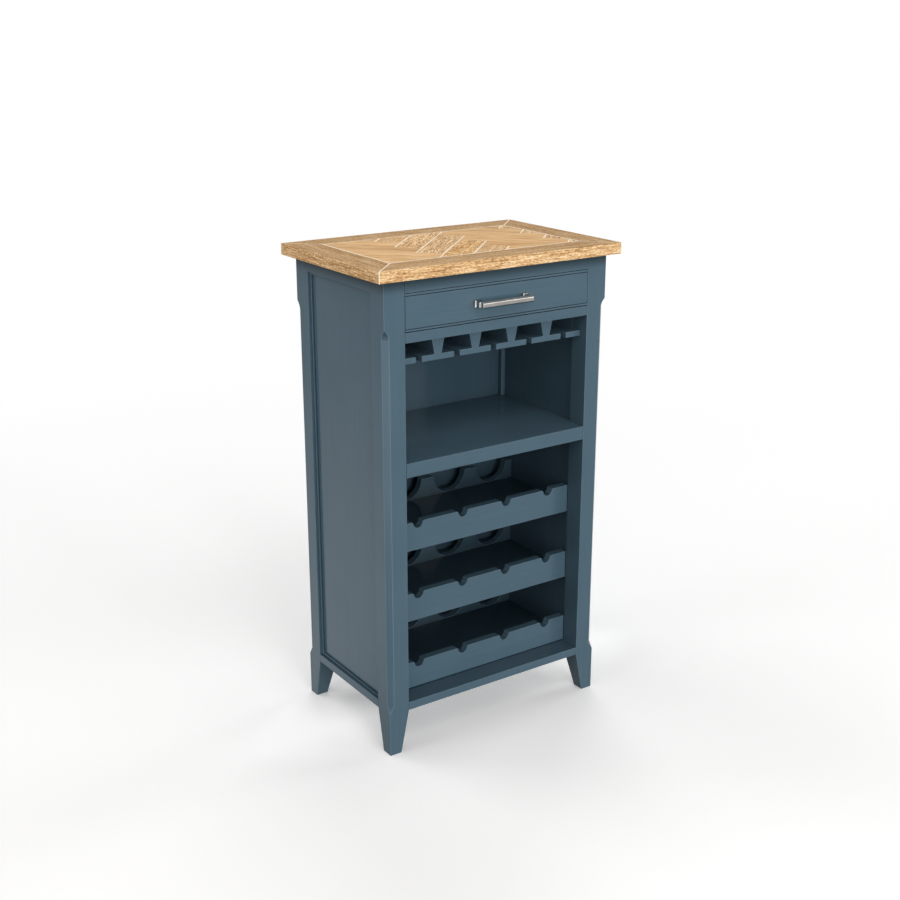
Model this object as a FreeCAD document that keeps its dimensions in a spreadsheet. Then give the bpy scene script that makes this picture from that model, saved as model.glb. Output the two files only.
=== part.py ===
import FreeCAD, Part
import math
import os

import Sketcher

# Wine cabinet, in millimetres.
# Frame: +Z up, the front faces -Y, +X to the right as seen from the front.
# Origin: on the floor, in the middle of the cabinet's footprint.

SIZES = (
    # the carcass
    ("body_width", 555, "across the outer faces of the posts"),
    ("body_depth", 352, "front to back over the posts"),
    ("body_height", 1026, "floor to the underside of the oak top"),
    ("post_size", 48, "side of a square post"),
    ("foot_size", 28, "side of a post where it meets the floor"),
    ("leg_height", 96, "floor to the underside of the bottom board"),
    ("chamfer_leg", 11, "leg of the chamfer on a post's outer corner"),
    ("chamfer_foot", 98.5, "height where the lower chamfer stop starts"),
    ("chamfer_stop", 17.5, "length of the lower chamfer stop"),
    ("chamfer_drop", 119, "end of the flat chamfer below the oak top"),
    ("tongue_radius", 30, "radius of the scooped upper chamfer stop"),
    ("tongue_rise", 2.4, "centre of the scoop above the end of the flat chamfer"),
    ("tongue_overcut", 0.1, "scoop deeper than the flat chamfer"),
    ("rail_thickness", 22, "thickness of every rail"),
    ("tenon_thickness", 10, "thickness of a rail's tenon"),
    ("tenon_length", 18, "length of a rail's tenon"),
    ("tenon_shoulder", 5, "shoulder above and below a tenon"),
    ("tenon_end_gap", 1, "mortise deeper than its tenon"),
    ("top_rail_height", 29, "height of the front and back top rails"),
    ("side_rail_height", 28, "height of the side top rails"),
    ("drawer_rail_height", 20.5, "height of the rail under the drawer"),
    ("drawer_bead_height", 5.5, "height of the beads above and below the drawer"),
    ("drawer_opening_height", 67.5, "clear height between the two beads"),
    ("side_panel_thickness", 28, "thickness of a side panel"),
    ("side_panel_recess", 10, "side panel behind the outer face of the posts"),
    ("side_bead_width", 4.5, "face width of the moulding round a side panel"),
    ("side_bead_proud", 4.5, "moulding proud of the side panel"),
    ("bottom_board_thickness", 18, "thickness of the bottom board"),
    ("back_panel_thickness", 9, "thickness of the back panel"),
    ("back_inset", 26, "rear face of the back panel inside the rear of the posts"),
    ("back_groove", 6, "depth of the back panel's grooves in the posts"),
    ("housing_depth", 6, "depth of the shelf housings in the side panels"),
    ("shelf_top", 650, "height of the middle shelf's upper face"),
    ("shelf_thickness", 30, "thickness of the middle shelf"),
    ("hanger_board_thickness", 13, "thickness of the board over the glass hangers"),
    # the glass hangers
    ("glass_slots", 5, "number of slots for stems"),
    ("slot_width", 14.2, "width of a slot"),
    ("hanger_height", 56.5, "height of a glass hanger"),
    ("flange_thickness", 12, "thickness of a flange"),
    ("web_foot", 17, "web width where it meets the flange"),
    ("web_head", 36, "web width where it meets the hanger board"),
    # the wine rack
    ("rack_pitch", 161.3, "one tier to the next"),
    ("rack_bays", 4, "bottles in a tier"),
    ("rack_floor_thickness", 15, "thickness of a rack floor"),
    ("rack_board_thickness", 18, "thickness of the neck and bottle boards"),
    ("bottle_board_setback", 12.5, "bottle board in front of the back posts"),
    ("neck_board_height", 63.3, "height of a neck board"),
    ("neck_radius", 11.5, "radius of the notch that holds a bottle's neck"),
    ("neck_drop", 3, "centre of a neck notch below the board's top edge"),
    ("neck_shoulder", 5, "rounding of a neck notch's two lips"),
    ("bottle_board_height", 44.5, "height of a bottle board above its floor"),
    ("bottle_radius", 43, "radius of the cut-out that holds a bottle's body"),
    # the drawer
    ("front_thickness", 20, "thickness of the drawer front"),
    ("front_gap", 1.5, "gap all round the drawer front"),
    ("drawer_side_thickness", 12, "thickness of drawer sides and back"),
    ("drawer_side_height", 64, "height of a drawer side"),
    ("drawer_side_gap", 2, "gap between a drawer side and its guide"),
    ("runner_gap", 0.3, "drawer side above its runner, and drawer box before its stops"),
    ("drawer_bottom_thickness", 6, "thickness of the drawer bottom"),
    ("drawer_bottom_rise", 6, "drawer bottom above the lower edge of the sides"),
    ("drawer_groove", 5, "depth of the drawer bottom's grooves"),
    ("runner_width", 25, "width of runners and kickers"),
    ("kicker_thickness", 12, "thickness of the kickers over the drawer sides"),
    ("guide_height", 55, "height of a side guide"),
    ("drawer_stop_depth", 16.7, "depth of a drawer stop block, front to back"),
    ("drawer_stop_height", 20, "height of a drawer stop block"),
    # the handle
    ("handle_length", 126, "length of the handle bar"),
    ("handle_height", 13, "height of the handle bar"),
    ("handle_depth", 10, "depth of the handle bar, front to back"),
    ("handle_bevel", 2.8, "bevel on the bar's two front edges"),
    ("handle_reach", 29, "front of the bar proud of the drawer front"),
    ("handle_inset", 3, "middle of a foot inside the end of the bar"),
    ("handle_rise", 0.3, "handle above the middle of the drawer front"),
    ("handle_plate_width", 15, "width of a foot's plate"),
    ("handle_plate_height", 17, "height of a foot's plate"),
    ("handle_plate_depth", 6.7, "depth of a foot's plate"),
    ("handle_stem_width", 11, "width of a foot's stem"),
    ("handle_stem_height", 12, "height of a foot's stem"),
    ("handle_screw_bite", 12, "handle screw inside its foot"),
    # the oak top
    ("top_thickness", 24, "thickness of the oak top"),
    ("side_overhang", 22.5, "top past the posts at each side"),
    ("front_overhang", 22, "top past the posts at front and back"),
    ("frame_board_width", 65, "width of the mitred frame boards"),
    ("top_arris", 1.5, "rounding of the upper outer edge"),
    ("parquet_thickness", 6, "thickness of the parquet blocks"),
    ("block_width", 57.6, "width of a parquet block"),
    ("block_length", 230.4, "length of a parquet block"),
    ("block_gap", 0.3, "joint between parquet blocks"),
    ("block_corner_x", 75.5, "a block corner that sets the herringbone, right of centre"),
    ("block_corner_y", 61.5, "the same corner, behind centre"),
    # brackets and screws
    ("bracket_leg", 16, "leg of a top bracket"),
    ("bracket_thickness", 2, "thickness of a top bracket"),
    ("bracket_width", 20, "width of a top bracket"),
    ("bracket_hole", 9, "bracket hole from the bend"),
    ("bracket_spread", 140, "distance between the brackets of one side"),
    ("screw_radius", 2, "radius of a screw's shank"),
    ("screw_head_radius", 4, "radius of a screw's head"),
    ("screw_head_height", 2, "height of a screw's head"),
    ("screw_play", 0.2, "hole radius larger than the shank"),
    ("screw_end_gap", 1, "hole deeper than its screw"),
    ("wood_screw_length", 14, "shank length of the bracket screws"),
    ("back_screw_length", 30, "shank length of the back panel's screws"),
    ("back_screw_columns", 3, "screws across the back panel in each row"),
    ("back_screw_spread", 340, "distance between the outer columns"),
)

doc = FreeCAD.newDocument("wine_cabinet")
sheet = doc.addObject("Spreadsheet::Sheet", "sizes")
for row, (alias, amount, meaning) in enumerate(SIZES, start=1):
    sheet.set(f"A{row}", meaning)
    sheet.set(f"B{row}", str(amount))
    sheet.setAlias(f"B{row}", alias)
doc.recompute()

nodes = []

# Two places nearer than this, in millimetres, are the same place.
NEAR = 0.01

# Planes of the carcass, as expressions of the sizes.
OUT_X = "(sizes.body_width / 2)"
OUT_Y = "(sizes.body_depth / 2)"
IN_X = f"({OUT_X} - sizes.post_size)"
IN_Y = f"({OUT_Y} - sizes.post_size)"
PANEL_OUT = f"({OUT_X} - sizes.side_panel_recess)"
PANEL_IN = f"({PANEL_OUT} - sizes.side_panel_thickness)"
HOUSED = f"({PANEL_IN} + sizes.housing_depth)"
RAIL_IN_X = f"({OUT_X} - sizes.rail_thickness)"
RAIL_IN_Y = f"({OUT_Y} - sizes.rail_thickness)"
BACK_REAR = f"({OUT_Y} - sizes.back_inset)"
BACK_FRONT = f"({BACK_REAR} - sizes.back_panel_thickness)"

# Heights of the carcass.
UNDER_TOP = "sizes.body_height"
TOP_RAIL_LOW = "(sizes.body_height - sizes.top_rail_height)"
SIDE_RAIL_LOW = "(sizes.body_height - sizes.side_rail_height)"
OPENING_HIGH = f"({TOP_RAIL_LOW} - sizes.drawer_bead_height)"
OPENING_LOW = f"({OPENING_HIGH} - sizes.drawer_opening_height)"
RAIL_HIGH = f"({OPENING_LOW} - sizes.drawer_bead_height)"
RAIL_LOW = f"({RAIL_HIGH} - sizes.drawer_rail_height)"
HANGER_BOARD_LOW = f"({RAIL_HIGH} - sizes.hanger_board_thickness)"
SHELF_LOW = "(sizes.shelf_top - sizes.shelf_thickness)"
FLOOR = "(sizes.leg_height + sizes.bottom_board_thickness)"


def both_ways(reach):
    """The span from minus reach to reach."""
    return (f"-{reach}", reach)


def on_side(side, inner, outer):
    """A span across X from inner to outer, on the left or the right side."""
    if side == "right":
        return (inner, outer)
    return (f"-{outer}", f"-{inner}")


def as_node(piece, name):
    """Give a finished piece its own name and put it on the list of nodes."""
    piece.Label = name
    nodes.append(piece)
    return piece


def board(name, x, y, z):
    """A square-edged board; x, y and z are its spans as pairs of expressions."""
    box = doc.addObject("Part::Box", name)
    spans = (("x", "Length", x), ("y", "Width", y), ("z", "Height", z))
    for axis, edge, (low, high) in spans:
        box.setExpression(f"Placement.Base.{axis}", low)
        box.setExpression(edge, f"{high} - ({low})")
    return box


def bore(name, along, centre, span, radius):
    """A round cutter along X, Y or Z; centre gives the two other coordinates."""
    turns = {
        "x": FreeCAD.Rotation(FreeCAD.Vector(0, 1, 0), 90),
        "y": FreeCAD.Rotation(FreeCAD.Vector(1, 0, 0), -90),
        "z": FreeCAD.Rotation(),
    }
    low, high = span
    places = dict(zip([axis for axis in "xyz" if axis != along], centre))
    places[along] = low
    cutter = doc.addObject("Part::Cylinder", name)
    cutter.Placement = FreeCAD.Placement(FreeCAD.Vector(), turns[along])
    cutter.setExpression("Radius", radius)
    cutter.setExpression("Height", f"{high} - ({low})")
    for axis, place in places.items():
        cutter.setExpression(f"Placement.Base.{axis}", place)
    return cutter


def joined(name, pieces):
    """Pieces glued or made as one solid."""
    union = doc.addObject("Part::MultiFuse", name)
    union.Shapes = pieces
    union.Refine = True
    return union


def without(name, blank, cutters):
    """The blank with every cutter taken out of it."""
    cut = doc.addObject("Part::Cut", name)
    cut.Base = blank
    cut.Tool = cutters[0] if len(cutters) == 1 else joined(f"{name}_cutters", cutters)
    return cut


def group(name, pieces):
    """Separate solids that share one node."""
    bundle = doc.addObject("Part::Compound", name)
    bundle.Links = pieces
    return as_node(bundle, name)


def origin_feature(body, role):
    """One of a body's own origin planes or axes."""
    return next(part for part in body.Origin.OriginFeatures if part.Role == role)


def sketch_on(body, name, role):
    """An empty sketch on one of the body's own origin planes."""
    sketch = body.newObject("Sketcher::SketchObject", name)
    sketch.AttachmentSupport = [(origin_feature(body, role), "")]
    sketch.MapMode = "FlatFace"
    return sketch


def place_point(sketch, geometry, point, place):
    """Tie one point of a sketch to a pair of expressions."""
    for direction, distance in zip(("DistanceX", "DistanceY"), place):
        index = sketch.addConstraint(Sketcher.Constraint(direction, -1, 1, geometry, point, 1.0))
        sketch.setExpression(f"Constraints[{index}]", distance)


def outline(body, name, role, corners):
    """A closed outline of straight lines; each corner is a pair of expressions."""
    sketch = sketch_on(body, name, role)
    count = len(corners)
    angles = [2 * math.pi * corner / count for corner in range(count)]
    ring = [FreeCAD.Vector(math.cos(angle), math.sin(angle), 0) for angle in angles]
    for corner in range(count):
        sketch.addGeometry(Part.LineSegment(ring[corner], ring[(corner + 1) % count]), False)
    for corner in range(count):
        following = (corner + 1) % count
        sketch.addConstraint(Sketcher.Constraint("Coincident", corner, 2, following, 1))
    for corner, place in enumerate(corners):
        place_point(sketch, corner, 1, place)
    return sketch


def rectangle(body, name, role, across, up):
    """A rectangular outline from two spans."""
    (left, right), (low, high) = across, up
    corners = ((left, low), (right, low), (right, high), (left, high))
    return outline(body, name, role, corners)


def circle(body, name, role, centre, radius):
    """A circle outline with its centre and radius as expressions."""
    sketch = sketch_on(body, name, role)
    sketch.addGeometry(Part.Circle(FreeCAD.Vector(), FreeCAD.Vector(0, 0, 1), 1.0), False)
    index = sketch.addConstraint(Sketcher.Constraint("Radius", 0, 1.0))
    sketch.setExpression(f"Constraints[{index}]", radius)
    place_point(sketch, 0, 3, centre)
    return sketch


def pad(body, name, sketch, length, symmetric=False):
    """Material along the sketch's normal, or half each way."""
    feature = body.newObject("PartDesign::Pad", name)
    feature.Profile = sketch
    feature.SideType = "Symmetric" if symmetric else "One side"
    feature.setExpression("Length", length)
    sketch.Visibility = False
    return feature


def pocket(body, name, sketch, length, symmetric=True, reverse=False):
    """Material taken out; the body must lose volume, or the pocket points the wrong way."""
    doc.recompute()
    before = body.Shape.Volume
    feature = body.newObject("PartDesign::Pocket", name)
    feature.Profile = sketch
    feature.SideType = "Symmetric" if symmetric else "One side"
    feature.Reversed = reverse
    feature.setExpression("Length", length)
    doc.recompute()
    if not feature.Shape.Volume < before:
        raise RuntimeError(f"{body.Label}: {name} cuts nothing")
    return feature


def row_along_x(body, name, feature, copies, length):
    """The feature repeated along the body's own X axis, over the given length."""
    pattern = body.newObject("PartDesign::LinearPattern", name)
    pattern.Originals = [feature]
    pattern.Direction = (origin_feature(body, "X_Axis"), [""])
    pattern.Occurrences = copies
    pattern.setExpression("Length", length)
    body.Tip = pattern
    return pattern


def rounded(body, name, feature, radius, wanted):
    """Fillets on the feature's edges that the test wanted(edge) accepts."""
    doc.recompute()
    edges = enumerate(feature.Shape.Edges, start=1)
    chosen = [f"Edge{number}" for number, edge in edges if wanted(edge)]
    fillet = body.newObject("PartDesign::Fillet", name)
    fillet.Base = (feature, chosen)
    fillet.setExpression("Radius", radius)
    return fillet


def screw(name, seat, turn, length):
    """A pan-head screw; seat is under its head, and turn points the head away from +Z."""
    body = doc.addObject("PartDesign::Body", name)
    corners = (
        ("0", f"-({length})"),
        ("sizes.screw_radius", f"-({length})"),
        ("sizes.screw_radius", "0"),
        ("sizes.screw_head_radius", "0"),
        ("sizes.screw_head_radius", "sizes.screw_head_height"),
        ("0", "sizes.screw_head_height"),
    )
    half_section = outline(body, f"{name}_half_section", "XZ_Plane", corners)
    turned = body.newObject("PartDesign::Revolution", f"{name}_turned")
    turned.Profile = half_section
    turned.ReferenceAxis = (half_section, ["V_Axis"])
    turned.Angle = 360
    body.Placement = FreeCAD.Placement(FreeCAD.Vector(), turn)
    for axis, place in zip("xyz", seat):
        body.setExpression(f"Placement.Base.{axis}", place)
    return body


SCREW_HOLE = "(sizes.screw_radius + sizes.screw_play)"


# Rails: each is a board with one tongue run through it, whose ends are the tenons.
def rail_across(name, y, z):
    """A rail along X, tenoned into two posts."""
    middle = f"({y[0]} + {y[1]}) / 2"
    tongue_y = (f"({middle} - sizes.tenon_thickness / 2)", f"({middle} + sizes.tenon_thickness / 2)")
    tongue_z = (f"({z[0]} + sizes.tenon_shoulder)", f"({z[1]} - sizes.tenon_shoulder)")
    face = board(f"{name}_face", both_ways(IN_X), y, z)
    reach = f"({IN_X} + sizes.tenon_length)"
    tongue = board(f"{name}_tongue", both_ways(reach), tongue_y, tongue_z)
    as_node(joined(name, [face, tongue]), name)
    return (tongue_y, tongue_z)


def mortise_across(name, side, tenon):
    """The mortise in a post for a rail along X."""
    tongue_y, tongue_z = tenon
    end = f"({IN_X} + sizes.tenon_length + sizes.tenon_end_gap)"
    return board(name, on_side(side, IN_X, end), tongue_y, tongue_z)


def side_rail(side):
    """The top rail between the two posts of one side."""
    name = f"side_rail_{side}"
    z = (SIDE_RAIL_LOW, UNDER_TOP)
    face = board(f"{name}_face", on_side(side, RAIL_IN_X, OUT_X), both_ways(IN_Y), z)
    reach = f"({IN_Y} + sizes.tenon_length)"
    tongue = board(f"{name}_tongue", side_tenon_x(side), both_ways(reach), SIDE_TENON_Z)
    blank = joined(f"{name}_blank", [face, tongue])
    as_node(without(name, blank, bracket_bores(side, "rail")), name)


def side_tenon_x(side):
    """The span across X of a side rail's tenon, in the middle of the rail's thickness."""
    middle = f"({OUT_X} - sizes.rail_thickness / 2)"
    inner = f"({middle} - sizes.tenon_thickness / 2)"
    outer = f"({middle} + sizes.tenon_thickness / 2)"
    return on_side(side, inner, outer)


SIDE_TENON_Z = (f"({SIDE_RAIL_LOW} + sizes.tenon_shoulder)", f"({UNDER_TOP} - sizes.tenon_shoulder)")


# Top brackets: steel angles between the side rails and the oak top, with their screws.
def bracket_places():
    """The middle of each bracket along Y."""
    return {"front": "-(sizes.bracket_spread / 2)", "back": "(sizes.bracket_spread / 2)"}


def bracket_bores(side, part):
    """The screw holes of one side's two brackets in the rail, or in the oak top."""
    cutters = []
    for end, y in bracket_places().items():
        name = f"bracket_hole_{part}_{side}_{end}"
        deep = "sizes.bracket_thickness + sizes.wood_screw_length + sizes.screw_end_gap"
        if part == "rail":
            height = f"({UNDER_TOP} - sizes.bracket_hole)"
            inner = f"({RAIL_IN_X} - 2 * sizes.bracket_thickness)"
            outer = f"({inner} + {deep})"
            span = on_side(side, inner, outer)
            cutters.append(bore(name, "x", (y, height), span, SCREW_HOLE))
        else:
            x = on_side(side, f"({RAIL_IN_X} - sizes.bracket_hole)", "0")
            low = f"({UNDER_TOP} - 2 * sizes.bracket_thickness)"
            across = x[0] if side == "right" else x[1]
            cutters.append(bore(name, "z", (across, y), (low, f"({low} + {deep})"), SCREW_HOLE))
    return cutters


def top_brackets():
    """Four steel angles, each with one screw into the rail and one into the top."""
    brackets = []
    screws = []
    for side in ("left", "right"):
        face = on_side(side, RAIL_IN_X, "0")[0 if side == "right" else 1]
        sign = "-" if side == "right" else "+"
        head_turn = -90 if side == "right" else 90
        for end, y in bracket_places().items():
            name = f"{side}_{end}"
            width = (f"{y} - sizes.bracket_width / 2", f"({y} + sizes.bracket_width / 2)")
            leg = f"({RAIL_IN_X} - sizes.bracket_leg)"
            plate = f"({RAIL_IN_X} - sizes.bracket_thickness)"
            drop = (f"({UNDER_TOP} - sizes.bracket_leg)", UNDER_TOP)
            thin = (f"({UNDER_TOP} - sizes.bracket_thickness)", UNDER_TOP)
            upright = board(f"bracket_upright_{name}", on_side(side, plate, RAIL_IN_X), width, drop)
            flat = board(f"bracket_flat_{name}", on_side(side, leg, RAIL_IN_X), width, thin)
            angle = joined(f"bracket_angle_{name}", [upright, flat])
            hole_z = f"({UNDER_TOP} - sizes.bracket_hole)"
            hole_x = f"({face} {sign} sizes.bracket_hole)"
            inner = f"({RAIL_IN_X} - 2 * sizes.bracket_thickness)"
            through_x = on_side(side, inner, RAIL_IN_X)
            through_z = (f"({UNDER_TOP} - 2 * sizes.bracket_thickness)", UNDER_TOP)
            holes = [
                bore(f"bracket_side_hole_{name}", "x", (y, hole_z), through_x, SCREW_HOLE),
                bore(f"bracket_top_hole_{name}", "z", (hole_x, y), through_z, SCREW_HOLE),
            ]
            brackets.append(without(f"bracket_{name}", angle, holes))
            seat_x = f"({face} {sign} sizes.bracket_thickness)"
            sideways = FreeCAD.Rotation(FreeCAD.Vector(0, 1, 0), head_turn)
            downwards = FreeCAD.Rotation(FreeCAD.Vector(1, 0, 0), 180)
            length = "sizes.wood_screw_length"
            seat_z = f"({UNDER_TOP} - sizes.bracket_thickness)"
            screws.append(screw(f"rail_screw_{name}", (seat_x, y, hole_z), sideways, length))
            screws.append(screw(f"top_screw_{name}", (hole_x, y, seat_z), downwards, length))
    group("top_brackets", brackets)
    group("top_bracket_screws", screws)


# The back panel's screws run into every board that ends against the panel.
def back_rows():
    """The boards that the back panel is screwed to, each with its middle height."""
    rows = {
        "shelf": f"({SHELF_LOW} + sizes.shelf_thickness / 2)",
        "hanger_board": f"({HANGER_BOARD_LOW} + sizes.hanger_board_thickness / 2)",
    }
    for tier, base in tier_bases().items():
        rows[f"rack_floor_{tier}"] = f"({base} + sizes.rack_floor_thickness / 2)"
    return rows


def back_columns():
    """Where the screws stand across the back panel."""
    count = int(sheet.back_screw_columns)
    step = f"sizes.back_screw_spread / ({count} - 1)"
    return [f"({column} * {step} - sizes.back_screw_spread / 2)" for column in range(count)]


def back_bores(piece, row, height):
    """The row's screw holes, through the panel and into the board."""
    front = f"({BACK_REAR} - sizes.back_screw_length - sizes.screw_end_gap)"
    cutters = []
    for number, x in enumerate(back_columns(), start=1):
        name = f"{piece}_{row}_screw_hole_{number}"
        cutters.append(bore(name, "y", (x, height), (front, BACK_REAR), SCREW_HOLE))
    return cutters


def back_screws():
    """Every screw of the back panel, driven from behind."""
    backwards = FreeCAD.Rotation(FreeCAD.Vector(1, 0, 0), -90)
    screws = []
    for row, height in back_rows().items():
        for number, x in enumerate(back_columns(), start=1):
            seat = (x, BACK_REAR, height)
            name = f"back_screw_{row}_{number}"
            screws.append(screw(name, seat, backwards, "sizes.back_screw_length"))
    group("back_panel_screws", screws)


def tier_bases():
    """The height that each tier of the wine rack stands on."""
    names = ("bottom", "middle", "top")
    return {tier: f"({FLOOR} + {number} * sizes.rack_pitch)" for number, tier in enumerate(names)}


# Posts: square, tapered at the foot on the two inner faces, with a stopped
# chamfer on the outer corner.  A post is drawn with its outer corner at the
# body's origin, growing to +X and +Y, and is turned to its corner of the cabinet.
POST_CORNERS = {
    ("front", "left"): (0, f"-{OUT_X}", f"-{OUT_Y}"),
    ("front", "right"): (90, OUT_X, f"-{OUT_Y}"),
    ("back", "right"): (180, OUT_X, OUT_Y),
    ("back", "left"): (270, f"-{OUT_X}", OUT_Y),
}


def post_blank(name, turn, x, y):
    """One post without its mortises."""
    body = doc.addObject("PartDesign::Body", f"{name}_blank")
    side = ("0", "sizes.post_size")
    square = rectangle(body, f"{name}_square", "XY_Plane", side, side)
    pad(body, f"{name}_stick", square, UNDER_TOP)

    past = "(sizes.post_size + sizes.chamfer_leg)"
    for face, role in (("x", "XZ_Plane"), ("y", "YZ_Plane")):
        wedge_corners = (
            ("sizes.foot_size", "0"),
            (past, "0"),
            (past, "sizes.leg_height"),
            ("sizes.post_size", "sizes.leg_height"),
        )
        wedge = outline(body, f"{name}_taper_{face}_outline", role, wedge_corners)
        pocket(body, f"{name}_taper_{face}", wedge, "4 * sizes.post_size")

    # The chamfer is drawn in the upright plane through the post's diagonal.
    depth = "(sizes.chamfer_leg / sqrt(2))"
    outside = "-sizes.chamfer_leg"
    full = "(sizes.chamfer_foot + sizes.chamfer_stop)"
    flat_end = f"({UNDER_TOP} - sizes.chamfer_drop)"
    flat_corners = (
        (outside, "sizes.chamfer_foot"),
        ("0", "sizes.chamfer_foot"),
        (depth, full),
        (depth, flat_end),
        (outside, flat_end),
    )
    scoop_centre = (
        f"{depth} + sizes.tongue_overcut - sizes.tongue_radius",
        f"{flat_end} + sizes.tongue_rise",
    )
    diagonal = FreeCAD.Placement(FreeCAD.Vector(), FreeCAD.Rotation(FreeCAD.Vector(0, 1, 0), 45))
    flat = outline(body, f"{name}_chamfer_outline", "XZ_Plane", flat_corners)
    scoop = circle(body, f"{name}_scoop_outline", "XZ_Plane", scoop_centre, "sizes.tongue_radius")
    for label, sketch in (("chamfer", flat), ("scoop", scoop)):
        sketch.AttachmentOffset = diagonal
        pocket(body, f"{name}_{label}", sketch, "2 * sizes.chamfer_leg")

    body.Placement = FreeCAD.Placement(FreeCAD.Vector(), FreeCAD.Rotation(FreeCAD.Vector(0, 0, 1), turn))
    body.setExpression("Placement.Base.x", x)
    body.setExpression("Placement.Base.y", y)
    return body


def posts(front_tenons, back_tenon):
    """The four posts, with the mortises of the rails and the back panel's grooves."""
    for (end, side), (turn, x, y) in POST_CORNERS.items():
        name = f"post_{end}_{side}"
        blank = post_blank(name, turn, x, y)
        reach = f"({IN_Y} + sizes.tenon_length + sizes.tenon_end_gap)"
        along_y = (IN_Y, reach) if end == "back" else (f"-{reach}", f"-{IN_Y}")
        cutters = [board(f"{name}_side_mortise", side_tenon_x(side), along_y, SIDE_TENON_Z)]
        if end == "front":
            for rail, tenon in front_tenons.items():
                cutters.append(mortise_across(f"{name}_{rail}_mortise", side, tenon))
        else:
            cutters.append(mortise_across(f"{name}_back_rail_mortise", side, back_tenon))
            groove_x = on_side(side, IN_X, f"({IN_X} + sizes.back_groove)")
            groove = board(f"{name}_groove", groove_x, (BACK_FRONT, BACK_REAR), (FLOOR, UNDER_TOP))
            cutters.append(groove)
        as_node(without(name, blank, cutters), name)


# Rails, beads and the posts that hold them.
def front_and_back_frame():
    """The rails across the cabinet, the drawer's two beads, and the four posts."""
    front = (f"-{OUT_Y}", f"-{RAIL_IN_Y}")
    behind_panel = (BACK_REAR, f"({BACK_REAR} + sizes.rail_thickness)")
    tenons = {
        "front_top_rail": rail_across("front_top_rail", front, (TOP_RAIL_LOW, UNDER_TOP)),
        "drawer_rail": rail_across("drawer_rail", front, (RAIL_LOW, RAIL_HIGH)),
    }
    back_tenon = rail_across("back_top_rail", behind_panel, (TOP_RAIL_LOW, UNDER_TOP))
    upper = board("drawer_bead_upper", both_ways(IN_X), front, (OPENING_HIGH, TOP_RAIL_LOW))
    lower = board("drawer_bead_lower", both_ways(IN_X), front, (RAIL_HIGH, OPENING_LOW))
    as_node(upper, "drawer_bead_upper")
    as_node(lower, "drawer_bead_lower")
    posts(tenons, back_tenon)


# Inner boards: housed in the side panels, and notched round the posts.
def inner_board_spans(front, z):
    """The two boxes of an inner board: between the posts, and out into the housings."""
    middle = (both_ways(IN_X), (front, BACK_FRONT), z)
    wings_front = f"max({front}; -{IN_Y})"
    wings = (both_ways(HOUSED), (wings_front, IN_Y), z)
    return middle, wings


def inner_board(name, front, z, row):
    """A shelf, floor or carrier board, screwed through the back panel."""
    middle, wings = inner_board_spans(front, z)
    blank = joined(f"{name}_blank", [board(f"{name}_middle", *middle), board(f"{name}_wings", *wings)])
    as_node(without(name, blank, back_bores(name, row, back_rows()[row])), name)


def inner_boards():
    """Every inner board: its front edge and its height span."""
    boards = {
        "shelf": (f"-{OUT_Y}", (SHELF_LOW, "sizes.shelf_top")),
        "hanger_board": (f"-{RAIL_IN_Y}", (HANGER_BOARD_LOW, RAIL_HIGH)),
    }
    floor_front = f"(sizes.rack_board_thickness - {IN_Y})"
    for tier, base in tier_bases().items():
        boards[f"rack_floor_{tier}"] = (floor_front, (base, f"({base} + sizes.rack_floor_thickness)"))
    return boards


def sides():
    """Side panels with their housings, side top rails and panel mouldings."""
    for side in ("left", "right"):
        panel_x = on_side(side, PANEL_IN, PANEL_OUT)
        blank = board(f"side_panel_{side}_blank", panel_x, both_ways(IN_Y), (FLOOR, SIDE_RAIL_LOW))
        housings = []
        for name, (front, z) in inner_boards().items():
            wings_y = inner_board_spans(front, z)[1][1]
            housing_x = on_side(side, PANEL_IN, HOUSED)
            housings.append(board(f"housing_{name}_{side}", housing_x, wings_y, z))
        name = f"side_panel_{side}"
        as_node(without(name, blank, housings), name)
        side_rail(side)
        side_bead(side)


def side_bead(side):
    """The four strips of moulding planted round a side panel's outer face."""
    x = on_side(side, PANEL_OUT, f"({PANEL_OUT} + sizes.side_bead_proud)")
    inner_y = f"({IN_Y} - sizes.side_bead_width)"
    full_z = (FLOOR, SIDE_RAIL_LOW)
    low_z = (FLOOR, f"({FLOOR} + sizes.side_bead_width)")
    high_z = (f"({SIDE_RAIL_LOW} - sizes.side_bead_width)", SIDE_RAIL_LOW)
    strips = {
        "front": ((f"-{IN_Y}", f"-{inner_y}"), full_z),
        "back": ((inner_y, IN_Y), full_z),
        "low": (both_ways(inner_y), low_z),
        "high": (both_ways(inner_y), high_z),
    }
    pieces = [board(f"side_bead_{side}_{name}", x, y, z) for name, (y, z) in strips.items()]
    group(f"side_bead_{side}", pieces)


# Bottom board, inner boards and back panel.
def boards():
    """The bottom board round the posts' feet, the inner boards and the back panel."""
    z = ("sizes.leg_height", FLOOR)
    blank = board("bottom_board_blank", both_ways(OUT_X), both_ways(OUT_Y), z)
    corners = []
    for side in ("left", "right"):
        for end, y in (("front", (f"-{OUT_Y}", f"-{IN_Y}")), ("back", (IN_Y, OUT_Y))):
            corners.append(board(f"bottom_notch_{end}_{side}", on_side(side, IN_X, OUT_X), y, z))
    as_node(without("bottom_board", blank, corners), "bottom_board")

    for name, (front, z) in inner_boards().items():
        inner_board(name, front, z, name)

    panel_x = both_ways(f"({IN_X} + sizes.back_groove)")
    panel = board("back_panel_blank", panel_x, (BACK_FRONT, BACK_REAR), (FLOOR, UNDER_TOP))
    cutters = []
    for row, height in back_rows().items():
        cutters += back_bores("back_panel", row, height)
    as_node(without("back_panel", panel, cutters), "back_panel")
    back_screws()


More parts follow.
